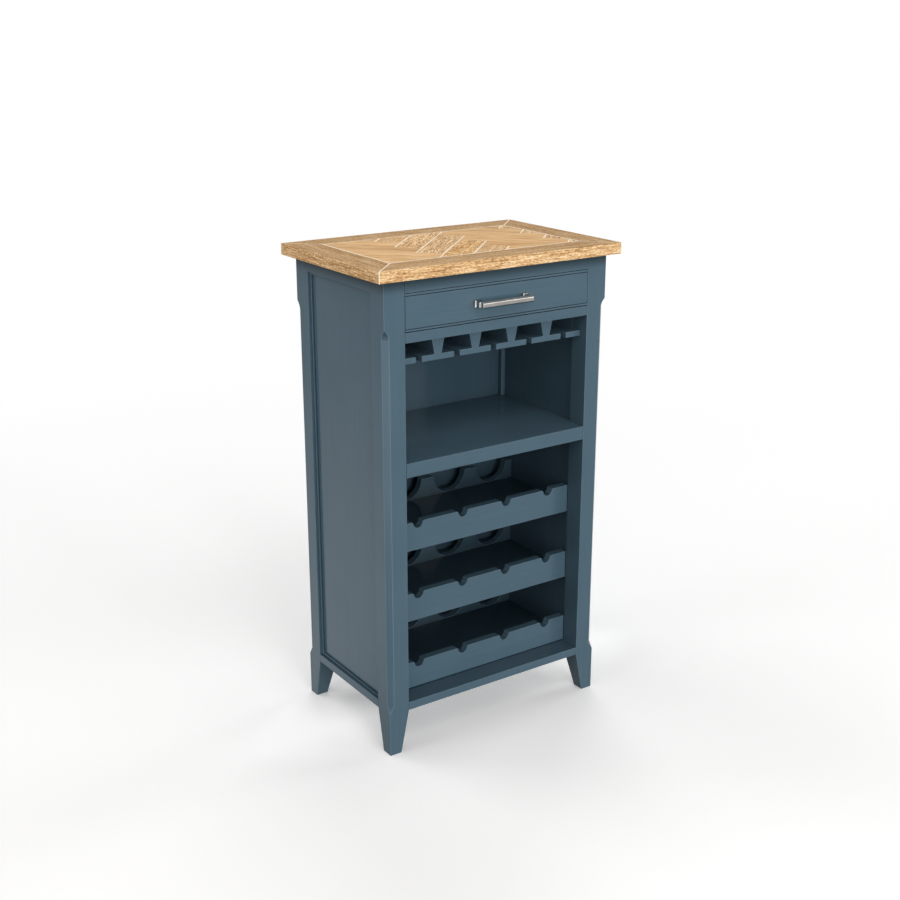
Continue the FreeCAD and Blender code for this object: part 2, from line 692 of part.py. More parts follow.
# Glass hangers: inverted T rails under the hanger board, a half one at each end.
SLOT_PITCH = f"(2 * {IN_X} / sizes.glass_slots)"
FLANGE_WIDTH = f"({SLOT_PITCH} - sizes.slot_width)"
FLANGE_LOW = f"({HANGER_BOARD_LOW} - sizes.hanger_height)"
FLANGE_TOP = f"({FLANGE_LOW} + sizes.flange_thickness)"


def glass_hangers():
    """The hangers whose flanges carry the feet of upturned glasses."""
    half = f"({FLANGE_WIDTH} / 2)"
    profile = (
        (f"-{half}", FLANGE_LOW),
        (half, FLANGE_LOW),
        (half, FLANGE_TOP),
        ("sizes.web_foot / 2", FLANGE_TOP),
        ("sizes.web_head / 2", HANGER_BOARD_LOW),
        ("-sizes.web_head / 2", HANGER_BOARD_LOW),
        ("-sizes.web_foot / 2", FLANGE_TOP),
        (f"-{half}", FLANGE_TOP),
    )
    run = f"{BACK_FRONT} + {RAIL_IN_Y}"
    for number in range(1, int(sheet.glass_slots)):
        name = f"glass_hanger_{number}"
        body = doc.addObject("PartDesign::Body", name)
        pad(body, f"{name}_run", outline(body, f"{name}_profile", "XZ_Plane", profile), run)
        body.setExpression("Placement.Base.x", f"{number} * {SLOT_PITCH} - {IN_X}")
        body.setExpression("Placement.Base.y", BACK_FRONT)
        as_node(body, name)

    for side in ("left", "right"):
        name = f"glass_hanger_end_{side}"
        flange_x = on_side(side, f"({IN_X} - {FLANGE_WIDTH} / 2)", IN_X)
        flange_y = (f"-{RAIL_IN_Y}", BACK_FRONT)
        flange = board(f"{name}_flange", flange_x, flange_y, (FLANGE_LOW, FLANGE_TOP))
        web_z = (FLANGE_LOW, HANGER_BOARD_LOW)
        web = board(f"{name}_web", on_side(side, IN_X, PANEL_IN), both_ways(IN_Y), web_z)
        as_node(joined(name, [flange, web]), name)


# Wine rack: in each tier a neck board at the front, a floor, and a bottle board behind.
def scalloped_board(name, reach, base, height, rear, cut_radius, cut_drop):
    """A board with one round cut per bottle in its top edge, evenly spaced."""
    bays = int(sheet.rack_bays)
    body = doc.addObject("PartDesign::Body", name)
    face = rectangle(body, f"{name}_face", "XZ_Plane", both_ways(reach), ("0", height))
    pad(body, f"{name}_board", face, "sizes.rack_board_thickness")
    bay = f"(2 * {reach} / {bays})"
    centre = (f"{bay} / 2 - {reach}", f"{height} - {cut_drop}")
    cut_outline = circle(body, f"{name}_cut_outline", "XZ_Plane", centre, cut_radius)
    first = pocket(body, f"{name}_cut", cut_outline, "3 * sizes.rack_board_thickness")
    cuts = row_along_x(body, f"{name}_cuts", first, bays, f"{bay} * ({bays} - 1)")
    body.setExpression("Placement.Base.y", rear)
    body.setExpression("Placement.Base.z", base)
    return body, cuts


def wine_rack():
    """Neck boards and bottle boards of the three tiers."""
    neck_rear = f"(sizes.rack_board_thickness - {IN_Y})"
    bottle_rear = f"({IN_Y} - sizes.bottle_board_setback)"
    half_opening = sheet.body_width / 2 - sheet.post_size

    def is_lip(edge):
        """An edge across the board's thickness, in its top edge and away from its ends."""
        box = edge.BoundBox
        across = box.XLength < NEAR and box.ZLength < NEAR
        in_top_edge = box.ZMin > sheet.neck_board_height - NEAR
        return across and in_top_edge and abs(box.XMax) < half_opening - NEAR

    for tier, base in tier_bases().items():
        name = f"neck_board_{tier}"
        size = ("sizes.neck_board_height", neck_rear, "sizes.neck_radius", "sizes.neck_drop")
        body, cuts = scalloped_board(name, IN_X, base, *size)
        rounded(body, f"{name}_lips", cuts, "sizes.neck_shoulder", is_lip)
        as_node(body, name)

        name = f"bottle_board_{tier}"
        on_floor = f"({base} + sizes.rack_floor_thickness)"
        size = ("sizes.bottle_board_height", bottle_rear, "sizes.bottle_radius", "0")
        body, cuts = scalloped_board(name, PANEL_IN, on_floor, *size)
        as_node(body, name)


# Drawer runners, guides, kickers and stops.
def drawer_ways():
    """The fixed strips that carry, guide and stop the drawer."""
    runner_in = f"({IN_X} - sizes.runner_width)"
    long_y = (f"-{RAIL_IN_Y}", BACK_FRONT)
    stops = []
    for side in ("left", "right"):
        strip_x = on_side(side, runner_in, IN_X)
        runner = board(f"drawer_runner_{side}", strip_x, long_y, (RAIL_HIGH, OPENING_LOW))
        as_node(runner, f"drawer_runner_{side}")
        kicker_z = (OPENING_HIGH, f"({OPENING_HIGH} + sizes.kicker_thickness)")
        kicker = board(f"drawer_kicker_{side}", strip_x, long_y, kicker_z)
        as_node(kicker, f"drawer_kicker_{side}")
        guide_x = on_side(side, IN_X, PANEL_IN)
        guide_z = (RAIL_HIGH, f"({RAIL_HIGH} + sizes.guide_height)")
        guide = board(f"drawer_guide_{side}", guide_x, both_ways(IN_Y), guide_z)
        as_node(guide, f"drawer_guide_{side}")
        stop_y = (f"({BACK_FRONT} - sizes.drawer_stop_depth)", BACK_FRONT)
        stop_z = (OPENING_LOW, f"({OPENING_LOW} + sizes.drawer_stop_height)")
        stops.append(board(f"drawer_stop_{side}", strip_x, stop_y, stop_z))
    group("drawer_stops", stops)


# The drawer: front, two sides, back and a bottom in grooves.
DRAWER_OUT = f"({IN_X} - sizes.drawer_side_gap)"
DRAWER_IN = f"({DRAWER_OUT} - sizes.drawer_side_thickness)"
FRONT_REAR = f"(sizes.front_thickness - {OUT_Y})"
BOX_REAR = f"({BACK_FRONT} - sizes.drawer_stop_depth - sizes.runner_gap)"
SIDE_LOW = f"({OPENING_LOW} + sizes.runner_gap)"
SIDE_HIGH = f"({SIDE_LOW} + sizes.drawer_side_height)"
BOTTOM_LOW = f"({SIDE_LOW} + sizes.drawer_bottom_rise)"
BOTTOM_HIGH = f"({BOTTOM_LOW} + sizes.drawer_bottom_thickness)"
GROOVE_OUT = f"({DRAWER_IN} + sizes.drawer_groove)"
GROOVE_FRONT = f"({FRONT_REAR} - sizes.drawer_groove)"
HANDLE_Z = f"(({OPENING_LOW} + {OPENING_HIGH}) / 2 + sizes.handle_rise)"


def drawer():
    """The inset drawer, without its handle."""
    bottom_z = (BOTTOM_LOW, BOTTOM_HIGH)
    front_x = both_ways(f"({IN_X} - sizes.front_gap)")
    front_z = (f"({OPENING_LOW} + sizes.front_gap)", f"({OPENING_HIGH} - sizes.front_gap)")
    front = board("drawer_front_blank", front_x, (f"-{OUT_Y}", FRONT_REAR), front_z)
    cutters = [board("drawer_front_groove", both_ways(GROOVE_OUT), (GROOVE_FRONT, FRONT_REAR), bottom_z)]
    for side, x in handle_places().items():
        through = (f"-{OUT_Y}", FRONT_REAR)
        cutters.append(bore(f"handle_hole_{side}", "y", (x, HANDLE_Z), through, SCREW_HOLE))
    as_node(without("drawer_front", front, cutters), "drawer_front")

    for side in ("left", "right"):
        name = f"drawer_side_{side}"
        side_x = on_side(side, DRAWER_IN, DRAWER_OUT)
        blank = board(f"{name}_blank", side_x, (FRONT_REAR, BOX_REAR), (SIDE_LOW, SIDE_HIGH))
        groove_x = on_side(side, DRAWER_IN, GROOVE_OUT)
        groove = board(f"{name}_groove", groove_x, (FRONT_REAR, BOX_REAR), bottom_z)
        as_node(without(name, blank, [groove]), name)

    back_y = (f"({BOX_REAR} - sizes.drawer_side_thickness)", BOX_REAR)
    back = board("drawer_back", both_ways(DRAWER_IN), back_y, (BOTTOM_HIGH, SIDE_HIGH))
    as_node(back, "drawer_back")
    bottom = board("drawer_bottom", both_ways(GROOVE_OUT), (GROOVE_FRONT, BOX_REAR), bottom_z)
    as_node(bottom, "drawer_bottom")


# The handle: a bevelled bar on two square feet, screwed on from inside the drawer.
def handle_places():
    """The middle of each handle foot along X."""
    reach = "(sizes.handle_length / 2 - sizes.handle_inset)"
    return {"left": f"-{reach}", "right": reach}


def handle():
    """Bar, feet and screws."""
    bar_front = f"(-{OUT_Y} - sizes.handle_reach)"
    bar_rear = f"({bar_front} + sizes.handle_depth)"
    bevel_y = f"{bar_front} + sizes.handle_bevel"
    top = f"({HANDLE_Z} + sizes.handle_height / 2)"
    low = f"({HANDLE_Z} - sizes.handle_height / 2)"
    section = (
        (bar_rear, low),
        (bar_rear, top),
        (bevel_y, top),
        (bar_front, f"{top} - sizes.handle_bevel"),
        (bar_front, f"{low} + sizes.handle_bevel"),
        (bevel_y, low),
    )
    bar = doc.addObject("PartDesign::Body", "handle_bar")
    sketch = outline(bar, "handle_bar_section", "YZ_Plane", section)
    pad(bar, "handle_bar_length", sketch, "sizes.handle_length", symmetric=True)
    as_node(bar, "handle_bar")

    stem_reach = "sizes.handle_reach - sizes.handle_depth"
    forwards = FreeCAD.Rotation(FreeCAD.Vector(1, 0, 0), -90)
    screws = []
    for side, x in handle_places().items():
        name = f"handle_foot_{side}"
        foot = doc.addObject("PartDesign::Body", name)
        plate_x = both_ways("(sizes.handle_plate_width / 2)")
        plate_z = both_ways("(sizes.handle_plate_height / 2)")
        plate = rectangle(foot, f"{name}_plate_outline", "XZ_Plane", plate_x, plate_z)
        pad(foot, f"{name}_plate", plate, "sizes.handle_plate_depth")
        stem_x = both_ways("(sizes.handle_stem_width / 2)")
        stem_z = both_ways("(sizes.handle_stem_height / 2)")
        stem = rectangle(foot, f"{name}_stem_outline", "XZ_Plane", stem_x, stem_z)
        pad(foot, f"{name}_stem", stem, stem_reach)
        hole = circle(foot, f"{name}_hole_outline", "XZ_Plane", ("0", "0"), SCREW_HOLE)
        deep = "sizes.handle_screw_bite + sizes.screw_end_gap"
        pocket(foot, f"{name}_hole", hole, deep, symmetric=False, reverse=True)
        for axis, place in zip("xyz", (x, f"-{OUT_Y}", HANDLE_Z)):
            foot.setExpression(f"Placement.Base.{axis}", place)
        as_node(foot, name)
        length = "(sizes.front_thickness + sizes.handle_screw_bite)"
        screws.append(screw(f"handle_screw_{side}", (x, FRONT_REAR, HANDLE_Z), forwards, length))
    group("handle_screws", screws)


# The oak top: four mitred frame boards round a core board faced with herringbone parquet.
TOP_X = f"({OUT_X} + sizes.side_overhang)"
TOP_Y = f"({OUT_Y} + sizes.front_overhang)"
FIELD_X = f"({TOP_X} - sizes.frame_board_width)"
FIELD_Y = f"({TOP_Y} - sizes.frame_board_width)"


def frame_board(name, turn, reach, field_reach, half_length, field_half_length):
    """One mitred board of the oak frame, drawn as the front one and turned to its side."""
    body = doc.addObject("PartDesign::Body", f"{name}_blank")
    corners = (
        (f"-{half_length}", f"-{reach}"),
        (half_length, f"-{reach}"),
        (field_half_length, f"-{field_reach}"),
        (f"-{field_half_length}", f"-{field_reach}"),
    )
    plan = outline(body, f"{name}_plan", "XY_Plane", corners)
    slab = pad(body, f"{name}_slab", plan, "sizes.top_thickness")

    def is_arris(edge):
        """The upper edge on the outside of the frame."""
        box = edge.BoundBox
        outside = box.YMax < slab.Shape.BoundBox.YMin + NEAR
        return outside and box.ZMin > slab.Shape.BoundBox.ZMax - NEAR

    rounded(body, f"{name}_arris", slab, "sizes.top_arris", is_arris)
    body.Placement = FreeCAD.Placement(FreeCAD.Vector(), FreeCAD.Rotation(FreeCAD.Vector(0, 0, 1), turn))
    body.setExpression("Placement.Base.z", UNDER_TOP)
    return body


def oak_frame():
    """The mitred frame; its two side boards take the bracket screws."""
    for end, turn in (("front", 0), ("back", 180)):
        name = f"top_frame_{end}"
        as_node(frame_board(name, turn, TOP_Y, FIELD_Y, TOP_X, FIELD_X), name)
    for side, turn in (("right", 90), ("left", 270)):
        name = f"top_frame_{side}"
        blank = frame_board(name, turn, TOP_X, FIELD_X, TOP_Y, FIELD_Y)
        as_node(without(name, blank, bracket_bores(side, "top")), name)


def herringbone():
    """Parquet blocks at 45 degrees, clipped to the field inside the frame."""
    length = sheet.block_length
    width = sheet.block_width
    gap = sheet.block_gap
    thick = sheet.parquet_thickness
    field_x = sheet.body_width / 2 + sheet.side_overhang - sheet.frame_board_width
    field_y = sheet.body_depth / 2 + sheet.front_overhang - sheet.frame_board_width
    base = sheet.body_height + sheet.top_thickness - thick
    corner = FreeCAD.Vector(-field_x + gap, -field_y + gap, base)
    field = Part.makeBox(2 * (field_x - gap), 2 * (field_y - gap), thick, corner)
    # Along and across the rising blocks, from the corner that sets the pattern.
    start_u = (sheet.block_corner_x + sheet.block_corner_y) / math.sqrt(2) - length - width
    start_v = (sheet.block_corner_y - sheet.block_corner_x) / math.sqrt(2) - width
    turn = FreeCAD.Placement(FreeCAD.Vector(0, 0, base), FreeCAD.Rotation(FreeCAD.Vector(0, 0, 1), 45))
    rows = math.ceil((field_x + field_y) / width) + 1
    columns = math.ceil((field_x + field_y) / length) + 1
    smallest = gap * width * thick
    blocks = []
    for column in range(-columns, columns + 1):
        for row in range(-rows, rows + 1):
            u = start_u + row * width + column * length
            v = start_v + row * width - column * length
            rising = (u, v, length, width)
            falling = (u + length, v + width - length, width, length)
            for low_u, low_v, size_u, size_v in (rising, falling):
                place = FreeCAD.Vector(low_u + gap / 2, low_v + gap / 2, 0)
                block = Part.makeBox(size_u - gap, size_v - gap, thick, place)
                block.Placement = turn.multiply(block.Placement)
                clipped = block.common(field)
                blocks += [solid for solid in clipped.Solids if solid.Volume > smallest]
    return blocks


def oak_top():
    """Frame, core and parquet."""
    oak_frame()
    core_high = f"({UNDER_TOP} + sizes.top_thickness - sizes.parquet_thickness)"
    core = board("top_core", both_ways(FIELD_X), both_ways(FIELD_Y), (UNDER_TOP, core_high))
    as_node(core, "top_core")
    parquet = doc.addObject("Part::Feature", "top_parquet")
    parquet.Shape = Part.makeCompound(herringbone())
    as_node(parquet, "top_parquet")


front_and_back_frame()
sides()
boards()
glass_hangers()
wine_rack()
drawer_ways()
drawer()
handle()
oak_top()
top_brackets()
doc.recompute()

for item in doc.Objects:
    if "Invalid" in item.State or "Error" in item.State:
        raise RuntimeError(f"{item.Label} did not build: {item.State}")
for piece in nodes:
    if piece.Shape.isNull() or not piece.Shape.isValid():
        raise RuntimeError(f"{piece.Label} has no valid shape")

os.makedirs("parts", exist_ok=True)
for piece in nodes:
    piece.Shape.exportStep(f"parts/{piece.Label}.step")
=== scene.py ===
"""A painted wine cabinet with an oak parquet top, dressed in the order it is put together."""

import math
import random

import bmesh
import bpy
from mathutils import Matrix, Vector


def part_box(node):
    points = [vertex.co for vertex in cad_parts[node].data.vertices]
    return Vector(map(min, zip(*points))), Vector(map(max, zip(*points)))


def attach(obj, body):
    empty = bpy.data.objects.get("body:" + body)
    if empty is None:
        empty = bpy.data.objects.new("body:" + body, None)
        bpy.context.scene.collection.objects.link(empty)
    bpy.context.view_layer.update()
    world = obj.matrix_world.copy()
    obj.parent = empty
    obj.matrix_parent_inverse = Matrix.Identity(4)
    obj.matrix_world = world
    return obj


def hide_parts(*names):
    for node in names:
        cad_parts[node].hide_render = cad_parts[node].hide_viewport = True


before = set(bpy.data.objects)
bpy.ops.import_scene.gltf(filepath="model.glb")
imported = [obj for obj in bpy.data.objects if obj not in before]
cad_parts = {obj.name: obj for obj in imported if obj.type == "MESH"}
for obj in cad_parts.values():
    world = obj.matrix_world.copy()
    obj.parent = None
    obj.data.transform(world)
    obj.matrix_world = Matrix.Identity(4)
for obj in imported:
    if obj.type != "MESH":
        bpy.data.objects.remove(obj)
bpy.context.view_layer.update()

# -------------------------------------------------------------------------------------------------
# Posts. Four planed square posts with a stopped chamfer on the outer corner and feet tapered on
# the two inner faces. They are mortised for the rails and painted once the carcass is glued up, so
# their arrises are eased by hand to hold the paint.

SAME_PLACE = 1e-5
FLAT_JOIN = math.radians(1)
SHARP_TURN = math.radians(30)
HOLE_STEP = 0.0005
AREA_PULL = 1e6
POST_ARRIS = 0.0011
FLAT_CHAMFER = 0.01
STOPS_ABOVE = 0.5
# Shares of painted shade on the downward-facing chamfer stops and on the posts' inner faces.
STOP_PAINTED_SHADE = 0.42
INNER_PAINTED_SHADE = 0.18

# Noise keeps to the middle of nought to one: nearly all of it lies in the reach, most in the
# middle.
NOISE_REACH = (0.3, 0.7)
NOISE_MIDDLE = (0.35, 0.65)
PAINT_COLOUR = (0.081, 0.137, 0.179, 1)
PAINT_DEEP = (0.069, 0.121, 0.160, 1)
# Painted highlight colour for the arrises.
PAINT_ARRIS_HIGHLIGHT = (0.120, 0.188, 0.236, 1)
# Near black of painted shade.
PAINT_SHADE_COLOUR = (0.006, 0.016, 0.026, 1)
PAINT_CLOUDS = (7, 7, 7)
BRUSH_MARKS = (5, 260, 260)
STIPPLE = (420, 420, 420)
CLOUD_SHARE = 0.45
BRUSH_RELIEF = 0.6
# Least share of the painted arris highlight.
LEAST_ARRIS_HIGHLIGHT = 0.55
PAINT_ROUGHNESS = (0.09, 0.13)
PAINT_BUMP = (0.035, 0.0003)
PAINT_IOR = 1.28
FACING = 0.7
OVERHANG_FROM = 0.998
OVERHANG_TO = 1.017
OVERHANG_SHADE = 0.42


def place(tree, kind, sockets=None, **settings):
    """One node of a tree, with its sockets filled from other nodes' sockets or set to values."""
    node = tree.nodes.new(kind)
    for name, value in settings.items():
        setattr(node, name, value)
    inputs = {socket.identifier: socket for socket in node.inputs}
    for name, value in (sockets or {}).items():
        if isinstance(value, bpy.types.NodeSocket):
            tree.links.new(value, inputs[name])
        else:
            inputs[name].default_value = value
    return node


def new_finish(name):
    """An empty material and its tree, with the shader already on the output."""
    material = bpy.data.materials.new(name)
    material.use_nodes = True
    tree = material.node_tree
    tree.nodes.clear()
    shader = place(tree, "ShaderNodeBsdfPrincipled")
    place(tree, "ShaderNodeOutputMaterial", {"Surface": shader.outputs["BSDF"]})
    return material, tree, shader


def stretched_noise(tree, coordinates, scale, detail=2.0, roughness=0.5):
    """Noise drawn out one way: scale is in marks per metre along, across and through."""
    laid = place(tree, "ShaderNodeMapping", {"Vector": coordinates, "Scale": scale})
    noise = place(
        tree,
        "ShaderNodeTexNoise",
        {"Vector": laid.outputs["Vector"], "Scale": 1.0, "Detail": detail, "Roughness": roughness},
    )
    return noise.outputs["Fac"]


def ranged(tree, value, low, high, to_low, to_high):
    """A value moved from one range to another and kept inside it."""
    sockets = {"Value": value, "From Min": low, "From Max": high}
    sockets.update({"To Min": to_low, "To Max": to_high})
    return place(tree, "ShaderNodeMapRange", sockets, clamp=True).outputs["Result"]


def blended(tree, share, first, second, blend="MIX"):
    """Two colours mixed by a share."""
    sockets = {"Factor_Float": share, "A_Color": first, "B_Color": second}
    node = place(tree, "ShaderNodeMix", sockets, data_type="RGBA", blend_type=blend)
    return next(socket for socket in node.outputs if socket.identifier == "Result_Color")


def figured(tree, operation, first, second=0.0):
    """One sum on two values."""
    node = place(tree, "ShaderNodeMath", {"Value": first, "Value_001": second}, operation=operation)
    return node.outputs["Value"]


def product(tree, first, second):
    """One value times another."""
    return figured(tree, "MULTIPLY", first, second)


def total(tree, first, second):
    """One value and another."""
    return figured(tree, "ADD", first, second)


def scaled(tree, vector, scale):
    """A vector or a colour times a scale."""
    sockets = {"Vector": vector, "Scale": scale}
    return place(tree, "ShaderNodeVectorMath", sockets, operation="SCALE").outputs["Vector"]


def separated(tree, vector):
    """The three lengths of a vector, by the names X, Y and Z."""
    return place(tree, "ShaderNodeSeparateXYZ", {"Vector": vector}).outputs


def attribute(tree, name, output="Fac"):
    """A value stored on the mesh."""
    return place(tree, "ShaderNodeAttribute", attribute_name=name).outputs[output]


def own_place(tree):
    """Where a point lies in its piece's own coordinates."""
    return place(tree, "ShaderNodeTexCoord").outputs["Object"]


def spread(tree, noise, low, high):
    """A noise, which seldom leaves its middle, spread over a whole range."""
    return ranged(tree, noise, *NOISE_REACH, low, high)


def surfaced(tree, shader, colour, roughness, relief, strength, depth):
    """Give a shader its colour and roughness, and a relief of a strength and a depth in metres."""
    sockets = {"Strength": strength, "Distance": depth, "Height": relief}
    bump = place(tree, "ShaderNodeBump", sockets)
    tree.links.new(colour, shader.inputs["Base Color"])
    tree.links.new(roughness, shader.inputs["Roughness"])
    tree.links.new(bump.outputs["Normal"], shader.inputs["Normal"])


def satin_paint():
    """Blue-grey satin paint, laid off along each board, with a painted highlight on its arrises."""
    material, tree, shader = new_finish("satin_paint")
    body = own_place(tree)
    cloud = stretched_noise(tree, body, PAINT_CLOUDS, detail=3)
    brushed = stretched_noise(tree, attribute(tree, "grain", "Vector"), BRUSH_MARKS)
    stipple = stretched_noise(tree, body, STIPPLE, detail=1)
    clouded = product(tree, ranged(tree, cloud, *NOISE_MIDDLE, 0, 1), CLOUD_SHARE)
    laid_off = product(tree, spread(tree, brushed, 0, 1), 1 - CLOUD_SHARE)
    colour = blended(tree, total(tree, clouded, laid_off), PAINT_DEEP, PAINT_COLOUR)
    # Painted shade: faces marked as lying in shade are darkened towards near black.
    colour = blended(tree, attribute(tree, "painted_shade"), colour, PAINT_SHADE_COLOUR)
    # Painted highlight: the arrises are lighter, more so in some patches.
    arris_highlight = product(tree, attribute(tree, "arris"), spread(tree, cloud, LEAST_ARRIS_HIGHLIGHT, 1))
    colour = blended(tree, arris_highlight, colour, PAINT_ARRIS_HIGHLIGHT)
    # Painted shade: the paint darkens towards the underside of the top's overhang.
    height = separated(tree, body)["Z"]
    shade = ranged(tree, height, OVERHANG_FROM, OVERHANG_TO, 1, OVERHANG_SHADE)
    colour = scaled(tree, colour, shade)
    marks = product(tree, brushed, BRUSH_RELIEF)
    relief = total(tree, marks, product(tree, stipple, 1 - BRUSH_RELIEF))
    surfaced(tree, shader, colour, spread(tree, brushed, *PAINT_ROUGHNESS), relief, *PAINT_BUMP)
    shader.inputs["IOR"].default_value = PAINT_IOR
    return material


def blank(node):
    """The wood of one frame node, with its corners joined and its flat faces whole."""
    wood = bmesh.new()
    wood.from_mesh(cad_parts[node].data)
    bmesh.ops.remove_doubles(wood, verts=wood.verts, dist=SAME_PLACE)
    bmesh.ops.dissolve_limit(wood, angle_limit=FLAT_JOIN, verts=wood.verts, edges=wood.edges)
    return wood


def as_mesh(name, wood):
    """The plain mesh of a finished bmesh, which is then let go."""
    mesh = bpy.data.meshes.new(name)
    wood.to_mesh(mesh)
    wood.free()
    return mesh


def in_scene(name, data):
    """An object that holds some data, linked to the scene."""
    made = bpy.data.objects.new(name, data)
    bpy.context.scene.collection.objects.link(made)
    return made


def ease(wood, arris, steps=2, held=True, least=HOLE_STEP):
    """Round each sharp edge longer than least, held within its faces or not, and mark it."""
    mark = wood.faces.layers.float.new("arris")
    closed = [edge for edge in wood.edges if edge.is_manifold]
    sharp = [edge for edge in closed if edge.calc_face_angle() > SHARP_TURN]
    sharp = [edge for edge in sharp if edge.calc_length() > least]
    rounded = bmesh.ops.bevel(
        wood,
        geom=sharp,
        offset=arris,
        segments=steps,
        profile=0.5,
        affect="EDGES",
        clamp_overlap=held,
    )
    for face in rounded["faces"]:
        face[mark] = 1.0
    return wood


def lay_grain(mesh, lot, tone=None):
    """Store where each point lies along, across and through the wood, and the board's own lot."""
    low = [min(vertex.co[axis] for vertex in mesh.vertices) for axis in range(3)]
    high = [max(vertex.co[axis] for vertex in mesh.vertices) for axis in range(3)]
    middle = [(a + b) / 2 for a, b in zip(low, high)]
    order = sorted(range(3), key=lambda axis: low[axis] - high[axis])
    grain = mesh.attributes.new("grain", "FLOAT_VECTOR", "POINT")
    board = mesh.attributes.new("lot", "FLOAT_VECTOR", "POINT")
    pick = random.Random(lot)
    drawn = [pick.random() for _ in range(3)]
    if tone is not None:
        drawn[0] = tone
    for vertex in mesh.vertices:
        grain.data[vertex.index].vector = [vertex.co[axis] - middle[axis] for axis in order]
        board.data[vertex.index].vector = drawn


def fair(mesh):
    """Let the light turn over the eased arrises and keep the wide faces flat."""
    mesh.shade_smooth()
    pull = [Vector() for _ in mesh.vertices]
    for face in mesh.polygons:
        for corner in face.vertices:
            pull[corner] += face.normal * face.area**2 * AREA_PULL
    mesh.normals_split_custom_set_from_vertices([direction.normalized() for direction in pull])


def stand(name, mesh, finish, body, nodes):
    """Set a finished piece in its place: it rides on a body and stands for the given nodes."""
    mesh.materials.clear()
    mesh.materials.append(finish)
    mesh.name = name
    piece = in_scene(name, mesh)
    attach(piece, body)
    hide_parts(*nodes)
    return piece


def sawn_off(wood, node):
    """The finished mesh of a piece of wood, with its grain laid along it."""
    mesh = as_mesh(node, wood)
    lay_grain(mesh, node)
    return mesh


paint = satin_paint()
for post in ("post_front_left", "post_front_right", "post_back_left", "post_back_right"):
    timber = blank(post)
    shade_layer = timber.faces.layers.float.new("painted_shade")
    inward = 1 if post.endswith("left") else -1
    # Painted shade darkens the scoops that end the chamfers above, which look down, and the faces
    # inside the cabinet.
    for face in timber.faces:
        stopped = -1 + FLAT_CHAMFER < face.normal.z < -FLAT_CHAMFER
        if stopped and face.calc_center_median().z > STOPS_ABOVE:
            face[shade_layer] = STOP_PAINTED_SHADE
        elif face.normal.x * inward > FACING:
            face[shade_layer] = INNER_PAINTED_SHADE
    ease(timber, POST_ARRIS, steps=3, held=False)
    post_mesh = sawn_off(timber, post)
    fair(post_mesh)
    stand(f"{post}_piece", post_mesh, paint, "cabinet", [post])

# -------------------------------------------------------------------------------------------------
# Rails and beads. Stub-tenoned rails tie the posts together under the top and under the drawer,
# and two thin beads above and below the drawer close its opening. All are planed pine, glued and
# painted.

RAIL_ARRIS = 0.0006
BEAD_ARRIS = 0.0005
JOINT_LINE = 0.0007
UPPER_BEAD_LINE = 0.0012
LOWER_BEAD_LINE = 0.0019


def open_joints(wood, joints):
    """Pull a board back from its neighbours: a joint is an axis, a place on it and the way."""
    for axis, where, back in joints:
        for vertex in wood.verts:
            if abs(vertex.co[axis] - where) < SAME_PLACE:
                vertex.co[axis] += back


def paint_recess_shade(wood, facing, share):
    """Mark the faces that look one way as lying in a recess, to be darkened as painted shade."""
    mark = wood.faces.layers.float.new("painted_shade")
    for face in wood.faces:
        if face.normal.dot(Vector(facing)) > FACING:
            face[mark] = share


def planed(node, arris, steps=2, joints=(), recess=None):
    """The mesh of one piece, cut from its node and eased."""
    wood = blank(node)
    open_joints(wood, joints)
    if recess:
        paint_recess_shade(wood, *recess)
    ease(wood, arris, steps)
    return sawn_off(wood, node)


def fit(node, finish, arris, body="cabinet", steps=2, joints=(), recess=None):
    """Plane one piece, fair it and set it in its place."""
    mesh = planed(node, arris, steps, joints, recess)
    fair(mesh)
    return stand(f"{node}_piece", mesh, finish, body, [node])


def shoulders(axis, reach):
    """The open line at both ends of a board that meets the posts at plus and minus reach."""
    return [(axis, reach, -JOINT_LINE), (axis, -reach, JOINT_LINE)]


post_low, post_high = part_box("post_front_right")
post_in_x = post_low.x
post_in_y = -post_high.y
for rail in ("front_top_rail", "back_top_rail", "drawer_rail"):
    fit(rail, paint, RAIL_ARRIS, joints=shoulders(0, post_in_x))
for rail in ("side_rail_left", "side_rail_right"):
    fit(rail, paint, RAIL_ARRIS, joints=shoulders(1, post_in_y))
for bead, end, line in (
    ("drawer_bead_upper", 1, -UPPER_BEAD_LINE),
    ("drawer_bead_lower", 0, LOWER_BEAD_LINE),
):
    against_rail = (2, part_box(bead)[end].z, line)
    fit(bead, paint, BEAD_ARRIS, joints=[*shoulders(0, post_in_x), against_rail])

# -------------------------------------------------------------------------------------------------
# Side panels. Each side is one plain glued-up board with housings for the shelves on its inner
# face, set in between the posts and painted with them.

PANEL_ARRIS = 0.0005
PANEL_PAINTED_SHADE = 0.2

# Painted shade darkens the inner face of each side panel.
for panel, inward in (("side_panel_left", 1), ("side_panel_right", -1)):
    fit(panel, paint, PANEL_ARRIS, recess=((inward, 0, 0), PANEL_PAINTED_SHADE))

# -------------------------------------------------------------------------------------------------
# Panel mouldings. A thin strip with a rounded nose is mitred round the outer face of each side
# panel and pinned there. One frame of it is swept along the panel's outline.

MOULDING_WIDTH = 0.0045
MOULDING_NOSE = 0.0014
MOULDING_LINE = 0.0014
NOSE_STEPS = 4


def vectored(tree, operation, first, second=(0, 0, 0)):
    """One sum on two vectors."""
    sockets = {"Vector": first, "Vector_001": second}
    return place(tree, "ShaderNodeVectorMath", sockets, operation=operation).outputs["Vector"]


